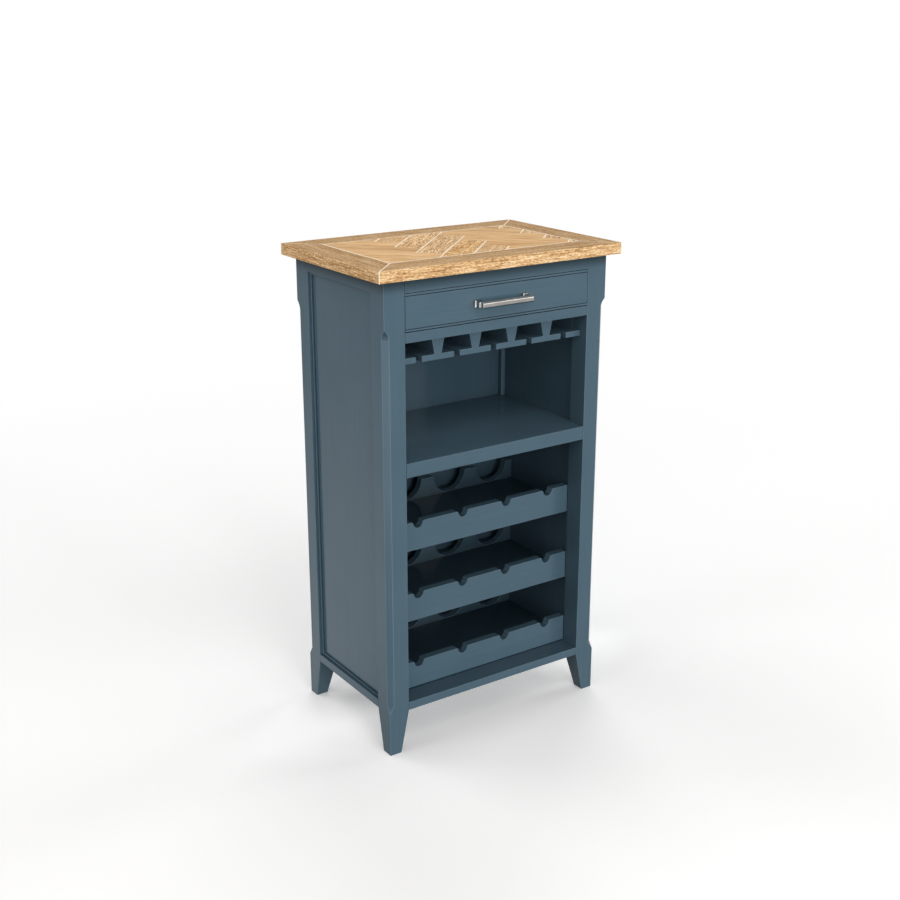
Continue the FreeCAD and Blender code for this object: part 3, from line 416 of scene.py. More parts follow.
def open_tree(name, inputs):
    """A geometry tree with named inputs, each a name, a kind of socket and its first value."""
    tree = bpy.data.node_groups.new(name, "GeometryNodeTree")
    tree.interface.new_socket("Geometry", in_out="OUTPUT", socket_type="NodeSocketGeometry")
    for label, kind, value in inputs:
        socket = tree.interface.new_socket(label, in_out="INPUT", socket_type=f"NodeSocket{kind}")
        if value is not None:
            socket.default_value = value
    return tree, place(tree, "NodeGroupInput").outputs


def close_tree(tree, geometry, finish):
    """End a tree with real meshes in one finish."""
    real = place(tree, "GeometryNodeRealizeInstances", {"Geometry": geometry})
    dressed = place(
        tree, "GeometryNodeSetMaterial", {"Geometry": real.outputs["Geometry"], "Material": finish}
    )
    result = place(tree, "NodeGroupOutput")
    tree.links.new(dressed.outputs["Geometry"], result.inputs["Geometry"])


def stored(tree, geometry, name, value, kind="FLOAT_VECTOR", domain="POINT"):
    """Geometry with a value kept on it under a name."""
    sockets = {"Geometry": geometry, "Name": name, "Value": value}
    node = place(tree, "GeometryNodeStoreNamedAttribute", sockets, data_type=kind, domain=domain)
    return node.outputs["Geometry"]


def recalled(tree, name):
    """A vector kept on the geometry."""
    node = place(tree, "GeometryNodeInputNamedAttribute", {"Name": name}, data_type="FLOAT_VECTOR")
    return node.outputs["Attribute"]


def moved(tree, geometry, **how):
    """Geometry set to a new Position, or shifted by an Offset."""
    sockets = {"Geometry": geometry, **how}
    return place(tree, "GeometryNodeSetPosition", sockets).outputs["Geometry"]


def made_plain(source):
    """What an object's modifier makes of it, as a plain mesh; the object goes."""
    evaluated = source.evaluated_get(bpy.context.evaluated_depsgraph_get())
    made = bpy.data.meshes.new_from_object(evaluated)
    bpy.data.objects.remove(source)
    return made


def grow(mesh, tree, sizes):
    """Run a tree on a made mesh and return what it makes as a plain mesh."""
    seed = in_scene("seed", mesh)
    modifier = seed.modifiers.new("tree", "NODES")
    modifier.node_group = tree
    for item in tree.interface.items_tree:
        if item.in_out == "INPUT" and item.name in sizes:
            modifier[item.identifier] = sizes[item.name]
    return made_plain(seed)


def moulding_tree():
    """A profile swept round a rectangle; its sections stand on the mitres, so they are widened."""
    tree, given = open_tree(
        "moulding_round_panel",
        (
            ("Profile", "Geometry", None),
            ("Depth", "Float", 0.25),
            ("Height", "Float", 0.88),
            ("Middle", "Vector", (0, 0, 0)),
            ("Finish", "Material", None),
        ),
    )
    line = place(
        tree,
        "GeometryNodeCurvePrimitiveQuadrilateral",
        {"Width": given["Depth"], "Height": given["Height"]},
    )
    corner = place(tree, "GeometryNodeInputPosition").outputs["Position"]
    kept = stored(tree, line.outputs["Curve"], "corner", corner)
    profile = place(tree, "GeometryNodeMeshToCurve", {"Mesh": given["Profile"]})
    swept = place(
        tree, "GeometryNodeCurveToMesh", {"Curve": kept, "Profile Curve": profile.outputs["Curve"]}
    )
    seat = recalled(tree, "corner")
    where = place(tree, "GeometryNodeInputPosition").outputs["Position"]
    off = vectored(tree, "SUBTRACT", where, seat)
    wider = vectored(tree, "MULTIPLY", off, (math.sqrt(2), math.sqrt(2), 1))
    mitred = moved(tree, swept.outputs["Mesh"], Position=vectored(tree, "ADD", wider, seat))
    stood = place(
        tree,
        "GeometryNodeTransform",
        {
            "Geometry": mitred,
            "Rotation": (math.pi / 2, 0, math.pi / 2),
            "Translation": given["Middle"],
        },
    )
    close_tree(tree, stood.outputs["Geometry"], given["Finish"])
    return tree


def nosed_profile(width, proud):
    """The moulding's section: a strip standing proud with both outer corners rounded."""
    points = []
    quarter = [math.pi / 2 * step / NOSE_STEPS for step in range(NOSE_STEPS + 1)]
    for side, turns in ((-1, quarter), (1, quarter[::-1])):
        for turn in turns:
            across = side * (width / 2 - MOULDING_NOSE + MOULDING_NOSE * math.cos(turn))
            points.append((across, proud / 2 - MOULDING_NOSE + MOULDING_NOSE * math.sin(turn), 0))
    points += [(width / 2, -proud / 2, 0), (-width / 2, -proud / 2, 0)]
    section = bpy.data.meshes.new("moulding_section")
    edges = [(index, (index + 1) % len(points)) for index in range(len(points))]
    section.from_pydata(points, edges, [])
    return section


moulding = moulding_tree()
for side in ("left", "right"):
    node = f"side_bead_{side}"
    low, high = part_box(node)
    sizes = {
        "Depth": high.y - low.y - MOULDING_WIDTH - 2 * MOULDING_LINE,
        "Height": high.z - low.z - MOULDING_WIDTH - 2 * MOULDING_LINE,
        "Middle": (low + high) / 2,
        "Finish": paint,
    }
    swept = grow(nosed_profile(MOULDING_WIDTH, high.x - low.x), moulding, sizes)
    body = bmesh.new()
    body.from_mesh(swept)
    bmesh.ops.recalc_face_normals(body, faces=body.faces)
    body.to_mesh(swept)
    body.free()
    lay_grain(swept, node)
    fair(swept)
    stand(f"side_moulding_{side}", swept, paint, "cabinet", [node])

# -------------------------------------------------------------------------------------------------
# Bottom board, shelf, hanger board and back panel. Solid boards housed in the side panels; the back
# is a thin panel let into grooves in the back posts. All are painted on every face.

BOARD_ARRIS = 0.0006
BOTTOM_PAINTED_SHADE = 0.42
BACK_PAINTED_SHADE = 0.34

# Painted shade darkens the top of the bottom board and the inner face of the back panel.
for carcass_board, recess in (
    ("bottom_board", ((0, 0, 1), BOTTOM_PAINTED_SHADE)),
    ("shelf", None),
    ("hanger_board", None),
):
    between_posts = [*shoulders(0, post_in_x), *shoulders(1, post_in_y)]
    fit(carcass_board, paint, BOARD_ARRIS, joints=between_posts, recess=recess)
fit("back_panel", paint, BOARD_ARRIS, recess=((0, -1, 0), BACK_PAINTED_SHADE))

# -------------------------------------------------------------------------------------------------
# Wine rack. Three tiers, each a floor with a notched neck board at the front and a bottle board
# with semicircular cut-outs at the rear. One of each is made and set out at the tier's pitch.

TIERS = ("bottom", "middle", "top")
RACK_ARRIS = 0.0005
# Height of the painted shadow band along the foot of the lowest neck board.
FOOT_SHADOW_LINE = 0.0036
RACK_FLOOR_PAINTED_SHADE = 0.66
NECK_PAINTED_SHADE = 0.36
BOTTLE_PAINTED_SHADE = 0.34


def set_out_tree():
    """One made piece repeated by an even step."""
    tree, given = open_tree(
        "set_out",
        (
            ("Piece", "Geometry", None),
            ("How Many", "Int", 3),
            ("Step", "Vector", (0, 0, 0.1)),
            ("Finish", "Material", None),
        ),
    )
    line = place(
        tree,
        "GeometryNodeMeshLine",
        {"Count": given["How Many"], "Offset": given["Step"]},
        mode="OFFSET",
    )
    copies = place(
        tree,
        "GeometryNodeInstanceOnPoints",
        {"Points": line.outputs["Mesh"], "Instance": given["Piece"]},
    )
    close_tree(tree, copies.outputs["Instances"], given["Finish"])
    return tree


def paint_shadow_below(mesh, height):
    """Cut a line round a mesh at one height and darken what lies below it as painted shadow."""
    wood = bmesh.new()
    wood.from_mesh(mesh)
    everything = wood.verts[:] + wood.edges[:] + wood.faces[:]
    bmesh.ops.bisect_plane(
        wood, geom=everything, dist=SAME_PLACE / 10, plane_co=(0, 0, height), plane_no=(0, 0, 1)
    )
    mark = wood.faces.layers.float["painted_shade"]
    for face in wood.faces:
        if face.calc_center_median().z < height:
            face[mark] = 1.0
    wood.to_mesh(mesh)
    wood.free()


set_out = set_out_tree()
rack_low, rack_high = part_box("neck_board_bottom")
against_posts = [(0, rack_high.x, -JOINT_LINE), (0, rack_low.x, JOINT_LINE)]
# Painted shade darkens the tops of the rack floors and neck boards and the fronts of the bottle
# boards.
for part, joints, recess in (
    ("rack_floor", (), ((0, 0, 1), RACK_FLOOR_PAINTED_SHADE)),
    ("neck_board", against_posts, ((0, 0, 1), NECK_PAINTED_SHADE)),
    ("bottle_board", (), ((0, -1, 0), BOTTLE_PAINTED_SHADE)),
):
    nodes = [f"{part}_{tier}" for tier in TIERS]
    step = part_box(nodes[1])[0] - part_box(nodes[0])[0]
    one = planed(nodes[0], RACK_ARRIS, joints=joints, recess=recess)
    tiers = grow(one, set_out, {"How Many": len(TIERS), "Step": step, "Finish": paint})
    # Painted shadow: a dark band along the foot of the lowest neck board.
    if part == "neck_board":
        paint_shadow_below(tiers, rack_low.z + FOOT_SHADOW_LINE)
    fair(tiers)
    stand(f"{part}s", tiers, paint, "cabinet", nodes)

# -------------------------------------------------------------------------------------------------
# Glass hangers. Four T-shaped runners and two half ones under the hanger board hold stems by their
# feet. They are moulded in one length and screwed up from below, then painted.

HANGER_ARRIS = 0.0007
FULL_HANGERS = 4

hangers = [f"glass_hanger_{number}" for number in range(1, FULL_HANGERS + 1)]
hanger_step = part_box(hangers[1])[0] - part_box(hangers[0])[0]
one_hanger = planed(hangers[0], HANGER_ARRIS)
row = grow(one_hanger, set_out, {"How Many": FULL_HANGERS, "Step": hanger_step, "Finish": paint})
fair(row)
stand("glass_hangers", row, paint, "cabinet", hangers)
for side in ("left", "right"):
    fit(f"glass_hanger_end_{side}", paint, HANGER_ARRIS)

# -------------------------------------------------------------------------------------------------
# Drawer ways. Runners carry the drawer, guides keep it straight, kickers stop it tipping and two
# blocks stop it at the back. They are pale hardwood, thinly lacquered, and waxed where the drawer
# rubs.

WAY_ARRIS = 0.0005
BARE_LIGHT = (0.62, 0.44, 0.26, 1)
BARE_DARK = (0.45, 0.29, 0.15, 1)
HARDWOOD_RINGS = (2.5, 160, 160)
HARDWOOD_FIBRES = (20, 1400, 1400)
HARDWOOD_ROUGHNESS = (0.55, 0.72)
HARDWOOD_BUMP = (0.25, 0.0003)


def mottled(tree, noise, first, second):
    """Two colours in soft patches."""
    return blended(tree, ranged(tree, noise, *NOISE_MIDDLE, 0, 1), first, second)


def bare_wood():
    """Pale hardwood under a thin matt lacquer, with broad soft rings drawn out along each piece."""
    material, tree, shader = new_finish("pale_hardwood")
    grain = attribute(tree, "grain", "Vector")
    cut = vectored(tree, "ADD", grain, attribute(tree, "lot", "Vector"))
    rings = stretched_noise(tree, cut, HARDWOOD_RINGS, detail=3)
    fibres = stretched_noise(tree, cut, HARDWOOD_FIBRES)
    colour = mottled(tree, rings, BARE_LIGHT, BARE_DARK)
    roughness = spread(tree, fibres, *HARDWOOD_ROUGHNESS)
    surfaced(tree, shader, colour, roughness, fibres, *HARDWOOD_BUMP)
    return material


hardwood = bare_wood()
for way in ("runner", "guide", "kicker"):
    for side in ("left", "right"):
        fit(f"drawer_{way}_{side}", hardwood, WAY_ARRIS)
fit("drawer_stops", hardwood, WAY_ARRIS)

# -------------------------------------------------------------------------------------------------
# Drawer. A plain glued box of thin hardwood boards round a grooved-in bottom, behind a painted
# front that closes flush in its opening.

DRAWER_ARRIS = 0.0005
FRONT_ARRIS = 0.0006

for board in ("drawer_side_left", "drawer_side_right", "drawer_back", "drawer_bottom"):
    fit(board, hardwood, DRAWER_ARRIS, body="drawer")
fit("drawer_front", paint, FRONT_ARRIS, body="drawer", steps=3)

# -------------------------------------------------------------------------------------------------
# Handle. A bevelled bar on two square feet, drawn brass plated in nickel and polished along the
# bar, held by two screws through the drawer front.

HANDLE_ARRIS = 0.0008
FOOT_BEVEL = 0.0014
NICKEL = (0.61, 0.60, 0.585, 1)
NICKEL_DULL = (0.47, 0.455, 0.435, 1)
POLISH_LINES = (30, 2600, 2600)
NICKEL_BREATH = (40, 90, 90)
NICKEL_ROUGHNESS = (0.06, 0.12)
NICKEL_BUMP = (0.05, 0.0002)


def plated():
    """Polished nickel with the faint lines of its polishing along each piece."""
    material, tree, shader = new_finish("polished_nickel")
    grain = attribute(tree, "grain", "Vector")
    lines = stretched_noise(tree, grain, POLISH_LINES)
    breath = stretched_noise(tree, grain, NICKEL_BREATH, detail=3)
    colour = mottled(tree, breath, NICKEL, NICKEL_DULL)
    surfaced(tree, shader, colour, spread(tree, breath, *NICKEL_ROUGHNESS), lines, *NICKEL_BUMP)
    shader.inputs["Metallic"].default_value = 1.0
    return material


nickel = plated()
fit("handle_bar", nickel, HANDLE_ARRIS, body="drawer", steps=3)
for foot in ("handle_foot_left", "handle_foot_right"):
    fit(foot, nickel, FOOT_BEVEL, body="drawer")

# -------------------------------------------------------------------------------------------------
# Oak frame of the top. Four boards, mitred at the corners, sanded on top and left a little rough on
# the sawn edges. Pale filler shows as a fine line in each mitre and round the field.

TOP_ARRIS = 0.0005
FRAME_TONE = 0.06
FRAME_RIPPLE = 0.5
JOINT = 0.0026
FIELD_JOINT = 0.0036
OAK_STOPS = (
    (0.14, (0.26, 0.12, 0.045, 1)),
    (0.38, (0.56, 0.325, 0.145, 1)),
    (0.58, (0.76, 0.50, 0.255, 1)),
    (0.82, (0.97, 0.765, 0.50, 1)),
)
CROWN_DEEPER = (0.98, 0.91, 0.78, 1)
RINGS_PER_METRE = 240.0
FIBRE_SWAY = 0.005
SAWN_SWAY = 0.008
CROWN_SWAY = 0.060
STREAK_SHARE = 0.44
DASH_SHARE = 0.70
BAND_SHARE = 0.10
RING_SHARE = 0.10
CALM_DASHES = 0.05
TORN_SHARE = 0.14
SAWN_DASHES = 0.34
LEAST_TONE = 0.72
GREATEST_TONE = 1.14
OUTER_FACES_PALER = 0.29
SWAY_MARKS = (16, 45, 45)
STREAKS = (14, 360, 360)
DASHES = (150, 520, 520)
TEARS = (55, 380, 380)
BANDS = (2.2, 34, 34)
LOT_STEPS = (7, 3, 5)
TREE_ASIDE = (-0.05, 0.05)
TREE_UNDER = (0.02, 0.07)
RING_DARK_FROM = 0.6
OAK_ROUGHNESS = (0.60, 0.46)
OAK_BUMP = (0.35, 0.0004)
OAK_GLOSS = 0.02


def combined(tree, x, y):
    """A flat vector from its two lengths."""
    return place(tree, "ShaderNodeCombineXYZ", {"X": x, "Y": y}).outputs["Vector"]


def toned(tree, value, stops):
    """A value turned into a colour, through stops that are each a place and a colour."""
    ramp = place(tree, "ShaderNodeValToRGB", {"Fac": value})
    band = ramp.color_ramp
    while len(band.elements) < len(stops):
        band.elements.new(0.5)
    for element, (where, colour) in zip(band.elements, stops):
        element.position = where
        element.color = colour
    return ramp.outputs["Color"]


def length_of(tree, vector):
    """How long a vector is."""
    length = place(tree, "ShaderNodeVectorMath", {"Vector": vector}, operation="LENGTH")
    return length.outputs["Value"]


def swung(tree, noise, share):
    """A noise spread to both sides of nought, as wide as its share."""
    return product(tree, spread(tree, noise, -0.5, 0.5), share)


def oak_finish():
    """Oiled oak: streaks and pores along each board over growth rings and soft tone bands."""
    material, tree, shader = new_finish("oiled_oak")
    grain = attribute(tree, "grain", "Vector")
    lot = attribute(tree, "lot", "Vector")
    crown = attribute(tree, "crown")
    sawn = attribute(tree, "sawn")
    ripple = attribute(tree, "ripple")
    drawn = separated(tree, lot)
    cut = vectored(tree, "ADD", grain, vectored(tree, "MULTIPLY", lot, LOT_STEPS))
    # The fibres sway along the board; they swirl round a crown and are torn on a sawn edge.
    sway = figured(tree, "SUBTRACT", stretched_noise(tree, cut, SWAY_MARKS), 0.5)
    reach = total(tree, product(tree, crown, CROWN_SWAY), FIBRE_SWAY)
    reach = total(tree, reach, product(tree, sawn, SAWN_SWAY))
    aside = combined(tree, 0.0, product(tree, sway, reach))
    fibres_run = vectored(tree, "ADD", cut, aside)
    streaks = stretched_noise(tree, fibres_run, STREAKS, roughness=0.6)
    dashes = stretched_noise(tree, fibres_run, DASHES, detail=1)
    tears = stretched_noise(tree, fibres_run, TEARS)
    bands = stretched_noise(tree, fibres_run, BANDS)
    # The growth rings are circles about the middle of the tree, which lies under the board.
    swayed = separated(tree, vectored(tree, "ADD", grain, aside))
    off_axis = total(tree, swayed["Y"], ranged(tree, drawn["Y"], 0, 1, *TREE_ASIDE))
    under = total(tree, swayed["Z"], ranged(tree, drawn["Z"], 0, 1, *TREE_UNDER))
    from_middle = length_of(tree, combined(tree, off_axis, under))
    ring = figured(tree, "FRACT", product(tree, from_middle, RINGS_PER_METRE))
    # Short dashes show most where the grain ripples and on a sawn edge, which is also torn.
    dash_share = ranged(tree, ripple, 0, 1, CALM_DASHES, DASH_SHARE)
    dash_share = total(tree, dash_share, product(tree, sawn, SAWN_DASHES))
    torn_share = product(tree, sawn, TORN_SHARE)
    figure = swung(tree, streaks, STREAK_SHARE)
    dashed = swung(tree, dashes, dash_share)
    banded = swung(tree, bands, BAND_SHARE)
    ringed = product(tree, ranged(tree, ring, RING_DARK_FROM, 1, 0, -1), RING_SHARE)
    torn = swung(tree, tears, torn_share)
    for part in (dashed, banded, ringed, torn):
        figure = total(tree, figure, part)
    figure = total(tree, figure, 0.5)
    colour = blended(tree, crown, toned(tree, figure, OAK_STOPS), CROWN_DEEPER, blend="MULTIPLY")
    tone = ranged(tree, drawn["X"], 0, 1, LEAST_TONE, GREATEST_TONE)
    # The outer faces of the frame boards are paler.
    tone = total(tree, tone, product(tree, sawn, OUTER_FACES_PALER))
    colour = scaled(tree, colour, tone)
    surfaced(tree, shader, colour, spread(tree, streaks, *OAK_ROUGHNESS), figure, *OAK_BUMP)
    shader.inputs["Specular IOR Level"].default_value = OAK_GLOSS
    return material


def trim(wood, point, outward):
    """Cut a closed solid off along a plane and close it again; what lies outward goes."""
    everything = wood.verts[:] + wood.edges[:] + wood.faces[:]
    bmesh.ops.bisect_plane(
        wood,
        geom=everything,
        dist=SAME_PLACE / 10,
        plane_co=point,
        plane_no=outward,
        clear_outer=True,
    )
    rims = [edge for edge in wood.edges if edge.is_boundary]
    bmesh.ops.holes_fill(wood, edges=rims, sides=0)


oak = oak_finish()
top_low, top_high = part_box("top_frame_front")
top_reach = Vector((top_high.x, -top_low.y))
_, field_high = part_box("top_core")
field_reach = Vector((field_high.x, field_high.y))
outward_of = {"front": (0, -1), "back": (0, 1), "left": (-1, 0), "right": (1, 0)}
for side, (out_x, out_y) in outward_of.items():
    node = f"top_frame_{side}"
    wood = blank(node)
    outward = Vector((out_x, out_y, 0))
    field_edge = Vector((out_x, out_y, 0)) * (FIELD_JOINT / 2)
    field_edge += Vector((out_x * field_reach.x, out_y * field_reach.y, 0))
    trim(wood, field_edge, -outward)
    for hand in (-1, 1):
        sideways = Vector((abs(out_y), abs(out_x), 0)) * hand
        corner = Vector((top_reach.x, top_reach.y, 0))
        corner = Vector((corner.x * (out_x or sideways.x), corner.y * (out_y or sideways.y), 0))
        normal = (sideways - outward).normalized()
        trim(wood, corner - normal * JOINT / 2, normal)
    ease(wood, TOP_ARRIS, least=0)
    rough = wood.faces.layers.float.new("sawn")
    rippled = wood.faces.layers.float.new("ripple")
    for face in wood.faces:
        face[rough] = 1.0 if face.normal.dot(outward) > FACING else 0.0
        face[rippled] = FRAME_RIPPLE * (1 - face[rough])
    mesh = as_mesh(node, wood)
    lay_grain(mesh, node, tone=FRAME_TONE)
    fair(mesh)
    stand(f"{node}_board", mesh, oak, "cabinet", [node])

# -------------------------------------------------------------------------------------------------
# Core board. A flat board of pressed chips lies inside the frame and carries the parquet; the frame
# boards are glued round its edge.

CORE_ARRIS = 0.0003
CORE_COLOUR = (0.52, 0.39, 0.25, 1)
CORE_DARK = (0.34, 0.23, 0.13, 1)
CHIPS_PER_METRE = 420.0
CORE_ROUGHNESS = (0.6, 0.75)
CORE_BUMP = (0.3, 0.0003)


def core_finish():
    """Pressed chips, pale and dark, under a thin sanded face."""
    material, tree, shader = new_finish("core_board")
    sockets = {"Vector": own_place(tree), "Scale": CHIPS_PER_METRE}
    chips = place(tree, "ShaderNodeTexVoronoi", sockets).outputs["Distance"]
    colour = blended(tree, chips, CORE_COLOUR, CORE_DARK)
    surfaced(tree, shader, colour, ranged(tree, chips, 0, 1, *CORE_ROUGHNESS), chips, *CORE_BUMP)
    return material


fit("top_core", core_finish(), CORE_ARRIS)

# -------------------------------------------------------------------------------------------------
# Parquet field. Oak blocks four times as long as wide, laid in herringbone at 45 degrees on the
# core and trimmed to the frame, with a fine joint along one kind of block and a wide one along the
# other.

BLOCK_LENGTH = 0.2304
BLOCK_WIDTH = 0.0576
WIDE_JOINT = 0.0028
FINE_JOINT = 0.0008
BLOCK_CORNER = Vector((0.0755, 0.0615))
BLOCK_ARRIS = 0.0003
COLUMNS = 5
ROWS = 13
CROWN_BLOCK = 32
PARQUET_SEED = 4
LEAST_LOT = (0.636, 0, 0)
GREATEST_LOT = (0.879, 1, 1)


def herringbone_tree():
    """Blocks on a lattice, one rising and one falling at each of its points."""
    tree, given = open_tree(
        "lay_herringbone",
        (
            ("Block", "Geometry", None),
            ("Block Length", "Float", 0.2),
            ("Block Width", "Float", 0.05),
            ("First Block", "Vector", (0, 0, 0)),
            ("Columns", "Int", 3),
            ("Rows", "Int", 9),
            ("Crown Block", "Int", 0),
            ("Seed", "Int", 0),
            ("Least Lot", "Vector", (0, 0, 0)),
            ("Greatest Lot", "Vector", (1, 1, 1)),
            ("Falling Scale", "Vector", (1, 1, 1)),
            ("Finish", "Material", None),
        ),
    )
    own_grain = place(tree, "GeometryNodeInputPosition").outputs["Position"]
    block = stored(tree, given["Block"], "grain", own_grain)
    step_x = product(tree, given["Block Length"], math.sqrt(2))
    step_y = product(tree, given["Block Width"], math.sqrt(2))
    count = product(tree, given["Columns"], given["Rows"])
    points = place(tree, "GeometryNodePoints", {"Count": count}).outputs["Points"]
    number = place(tree, "GeometryNodeInputIndex").outputs["Index"]
    column = figured(tree, "MODULO", number, given["Columns"])
    line = figured(tree, "FLOOR", figured(tree, "DIVIDE", number, given["Columns"]))
    at_x = product(tree, column, step_x)
    at_y = product(tree, line, step_y)
    start = vectored(tree, "ADD", combined(tree, at_x, at_y), given["First Block"])
    lattice = moved(tree, points, Position=start)
    half_x = product(tree, step_x, 0.5)
    half_y = product(tree, step_y, 0.5)
    shifted = moved(tree, lattice, Offset=combined(tree, half_x, half_y))
    laid = []
    rising = (math.pi / 4, lattice, (1, 1, 1), 1.0)
    falling = (-math.pi / 4, shifted, given["Falling Scale"], 0.0)
    for turn, seats, scale, ripple in (rising, falling):
        run = place(
            tree,
            "GeometryNodeInstanceOnPoints",
            {"Points": seats, "Instance": block, "Rotation": (0, 0, turn), "Scale": scale},
        )
        crowned = 0.0
        if seats is lattice:
            sockets = {"A_INT": number, "B_INT": given["Crown Block"]}
            same = place(tree, "FunctionNodeCompare", sockets, data_type="INT", operation="EQUAL")
            crowned = same.outputs["Result"]
        marked = stored(tree, run.outputs["Instances"], "crown", crowned, "FLOAT", "INSTANCE")
        laid.append(stored(tree, marked, "ripple", ripple, "FLOAT", "INSTANCE"))
    joined = place(tree, "GeometryNodeJoinGeometry")
    for run in reversed(laid):
        tree.links.new(run, joined.inputs["Geometry"])
    drawn = place(
        tree,
        "FunctionNodeRandomValue",
        {"Min": given["Least Lot"], "Max": given["Greatest Lot"], "Seed": given["Seed"]},
        data_type="FLOAT_VECTOR",
    )
    blocks = joined.outputs["Geometry"]
    blocks = stored(tree, blocks, "lot", drawn.outputs[0], domain="INSTANCE")
    close_tree(tree, blocks, given["Finish"])
    return tree


def squared(size, middle=(0, 0, 0)):
    """A closed box in a bmesh."""
    wood = bmesh.new()
    placed = Matrix.Translation(middle) @ Matrix.Diagonal((*size, 1))
    bmesh.ops.create_cube(wood, size=1, matrix=placed)
    return wood


parquet_low, parquet_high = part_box("top_parquet")
thick = parquet_high.z - parquet_low.z
rising_size = Vector((BLOCK_LENGTH - FINE_JOINT, BLOCK_WIDTH - WIDE_JOINT, thick))
falling_size = Vector((BLOCK_LENGTH - WIDE_JOINT, BLOCK_WIDTH - FINE_JOINT, thick))
block = squared(rising_size)
upper = [edge for edge in block.edges if all(vertex.co.z > 0 for vertex in edge.verts)]
bmesh.ops.bevel(block, geom=upper, offset=BLOCK_ARRIS, segments=2, profile=0.5, affect="EDGES")

first_x = BLOCK_CORNER.x - (BLOCK_LENGTH + BLOCK_WIDTH) / 2 / math.sqrt(2)
first_y = BLOCK_CORNER.y - (BLOCK_LENGTH + 3 * BLOCK_WIDTH) / 2 / math.sqrt(2)
first_x -= COLUMNS // 2 * BLOCK_LENGTH * math.sqrt(2)
first_y -= ROWS // 2 * BLOCK_WIDTH * math.sqrt(2)
laid = grow(
    as_mesh("block", block),
    herringbone_tree(),
    {
        "Block Length": BLOCK_LENGTH,
        "Block Width": BLOCK_WIDTH,
        "First Block": (first_x, first_y, parquet_low.z + thick / 2),
        "Columns": COLUMNS,
        "Rows": ROWS,
        "Crown Block": CROWN_BLOCK,
        "Seed": PARQUET_SEED,
        "Least Lot": LEAST_LOT,
        "Greatest Lot": GREATEST_LOT,
        "Falling Scale": [there / here for there, here in zip(falling_size, rising_size)],
        "Finish": oak,
    },
)
blocks = bmesh.new()
blocks.from_mesh(laid)
blocks_reach = field_reach - Vector((FIELD_JOINT / 2, FIELD_JOINT / 2))
for out_x, out_y in outward_of.values():
    edge_point = Vector((out_x * blocks_reach.x, out_y * blocks_reach.y, 0))
    trim(blocks, edge_point, Vector((out_x, out_y, 0)))
bmesh.ops.recalc_face_normals(blocks, faces=blocks.faces)
blocks.to_mesh(laid)
blocks.free()
fair(laid)
parquet = stand("parquet_blocks", laid, oak, "cabinet", ["top_parquet"])

# -------------------------------------------------------------------------------------------------
# Filler. A pale paste of chalk and wood dust, pressed into the joints between the blocks, round
# the field and in the frame's mitres, and sanded down with the top, so that it lies just under its
# face.

FILLER_BELOW = 0.0001
MITRE_BELOW = 0.00016
FILLER_COLOUR = (0.97, 0.88, 0.71, 1)
FILLER_DARK = (0.84, 0.74, 0.58, 1)
FILLER_GRIT = (1500, 1500, 1500)
FILLER_ROUGHNESS = (0.6, 0.8)
FILLER_BUMP = (0.2, 0.0002)


def filler_finish():
    """Pale wood filler, matt and slightly grainy."""
    material, tree, shader = new_finish("pale_filler")
    grit = stretched_noise(tree, own_place(tree), FILLER_GRIT)
    colour = mottled(tree, grit, FILLER_COLOUR, FILLER_DARK)
    surfaced(tree, shader, colour, spread(tree, grit, *FILLER_ROUGHNESS), grit, *FILLER_BUMP)
    return material


def cut_away(name, wood, cutter):
    """A new mesh of wood with the cutter's solids taken out."""
    stock = in_scene(name, as_mesh(name, wood))
    modifier = stock.modifiers.new("cut", "BOOLEAN")
    modifier.operation = "DIFFERENCE"
    modifier.solver = "EXACT"
    modifier.object = cutter
    return made_plain(stock)


filler = filler_finish()
bed_size = (2 * field_reach.x + FIELD_JOINT, 2 * field_reach.y + FIELD_JOINT, thick - FILLER_BELOW)
bed = squared(bed_size, (0, 0, parquet_low.z + (thick - FILLER_BELOW) / 2))
field_filler = cut_away("field_filler", bed, parquet)
stand("field_filler", field_filler, filler, "cabinet", [])

mitres = bmesh.new()
mitre_length = (top_reach.x - field_reach.x) * math.sqrt(2)
mitre_high = top_high.z - top_low.z - 2 * MITRE_BELOW
for hand_x in (-1, 1):
    for hand_y in (-1, 1):
        centre_x = hand_x * (top_reach.x + field_reach.x) / 2
        centre_y = hand_y * (top_reach.y + field_reach.y) / 2
        centred = Matrix.Translation((centre_x, centre_y, (top_low.z + top_high.z) / 2))
        turned = Matrix.Rotation(math.pi / 4 * hand_x * hand_y, 4, "Z")
        sized = Matrix.Diagonal((mitre_length + JOINT, JOINT, mitre_high, 1))
        bmesh.ops.create_cube(mitres, size=1, matrix=centred @ turned @ sized)
mitre_reach = top_reach - Vector((FILLER_BELOW, FILLER_BELOW))
for out_x, out_y in outward_of.values():
    edge_point = Vector((out_x * mitre_reach.x, out_y * mitre_reach.y, 0))
    trim(mitres, edge_point, Vector((out_x, out_y, 0)))
stand("mitre_filler", as_mesh("mitre_filler", mitres), filler, "cabinet", [])

# -------------------------------------------------------------------------------------------------
# Brackets and screws. Steel angle brackets hold the top to the side rails, screws hold the back
# panel to the boards, and two screws hold the handle. All are zinc-plated.

BRACKET_ARRIS = 0.0003
SCREW_SIDES = 20
# The head from the middle of its top out to its rim and in to the shank, in radii of the head.
HEAD_SECTION = ((0, 0), (0.55, 0), (0.88, -0.125), (1, -0.3), (1, -0.5), (0.5, -0.5))
TIP_SHARE = 0.175
RECESS_LENGTH = 0.0042
RECESS_WIDTH = 0.0009
RECESS_DEPTH = 0.0011
SCREW_SEED = 1
ZINC = (0.55, 0.56, 0.57, 1)
ZINC_DULL = (0.42, 0.43, 0.45, 1)
ZINC_CRYSTALS = (500, 500, 500)
ZINC_ROUGHNESS = (0.3, 0.42)
ZINC_BUMP = (0.1, 0.0002)


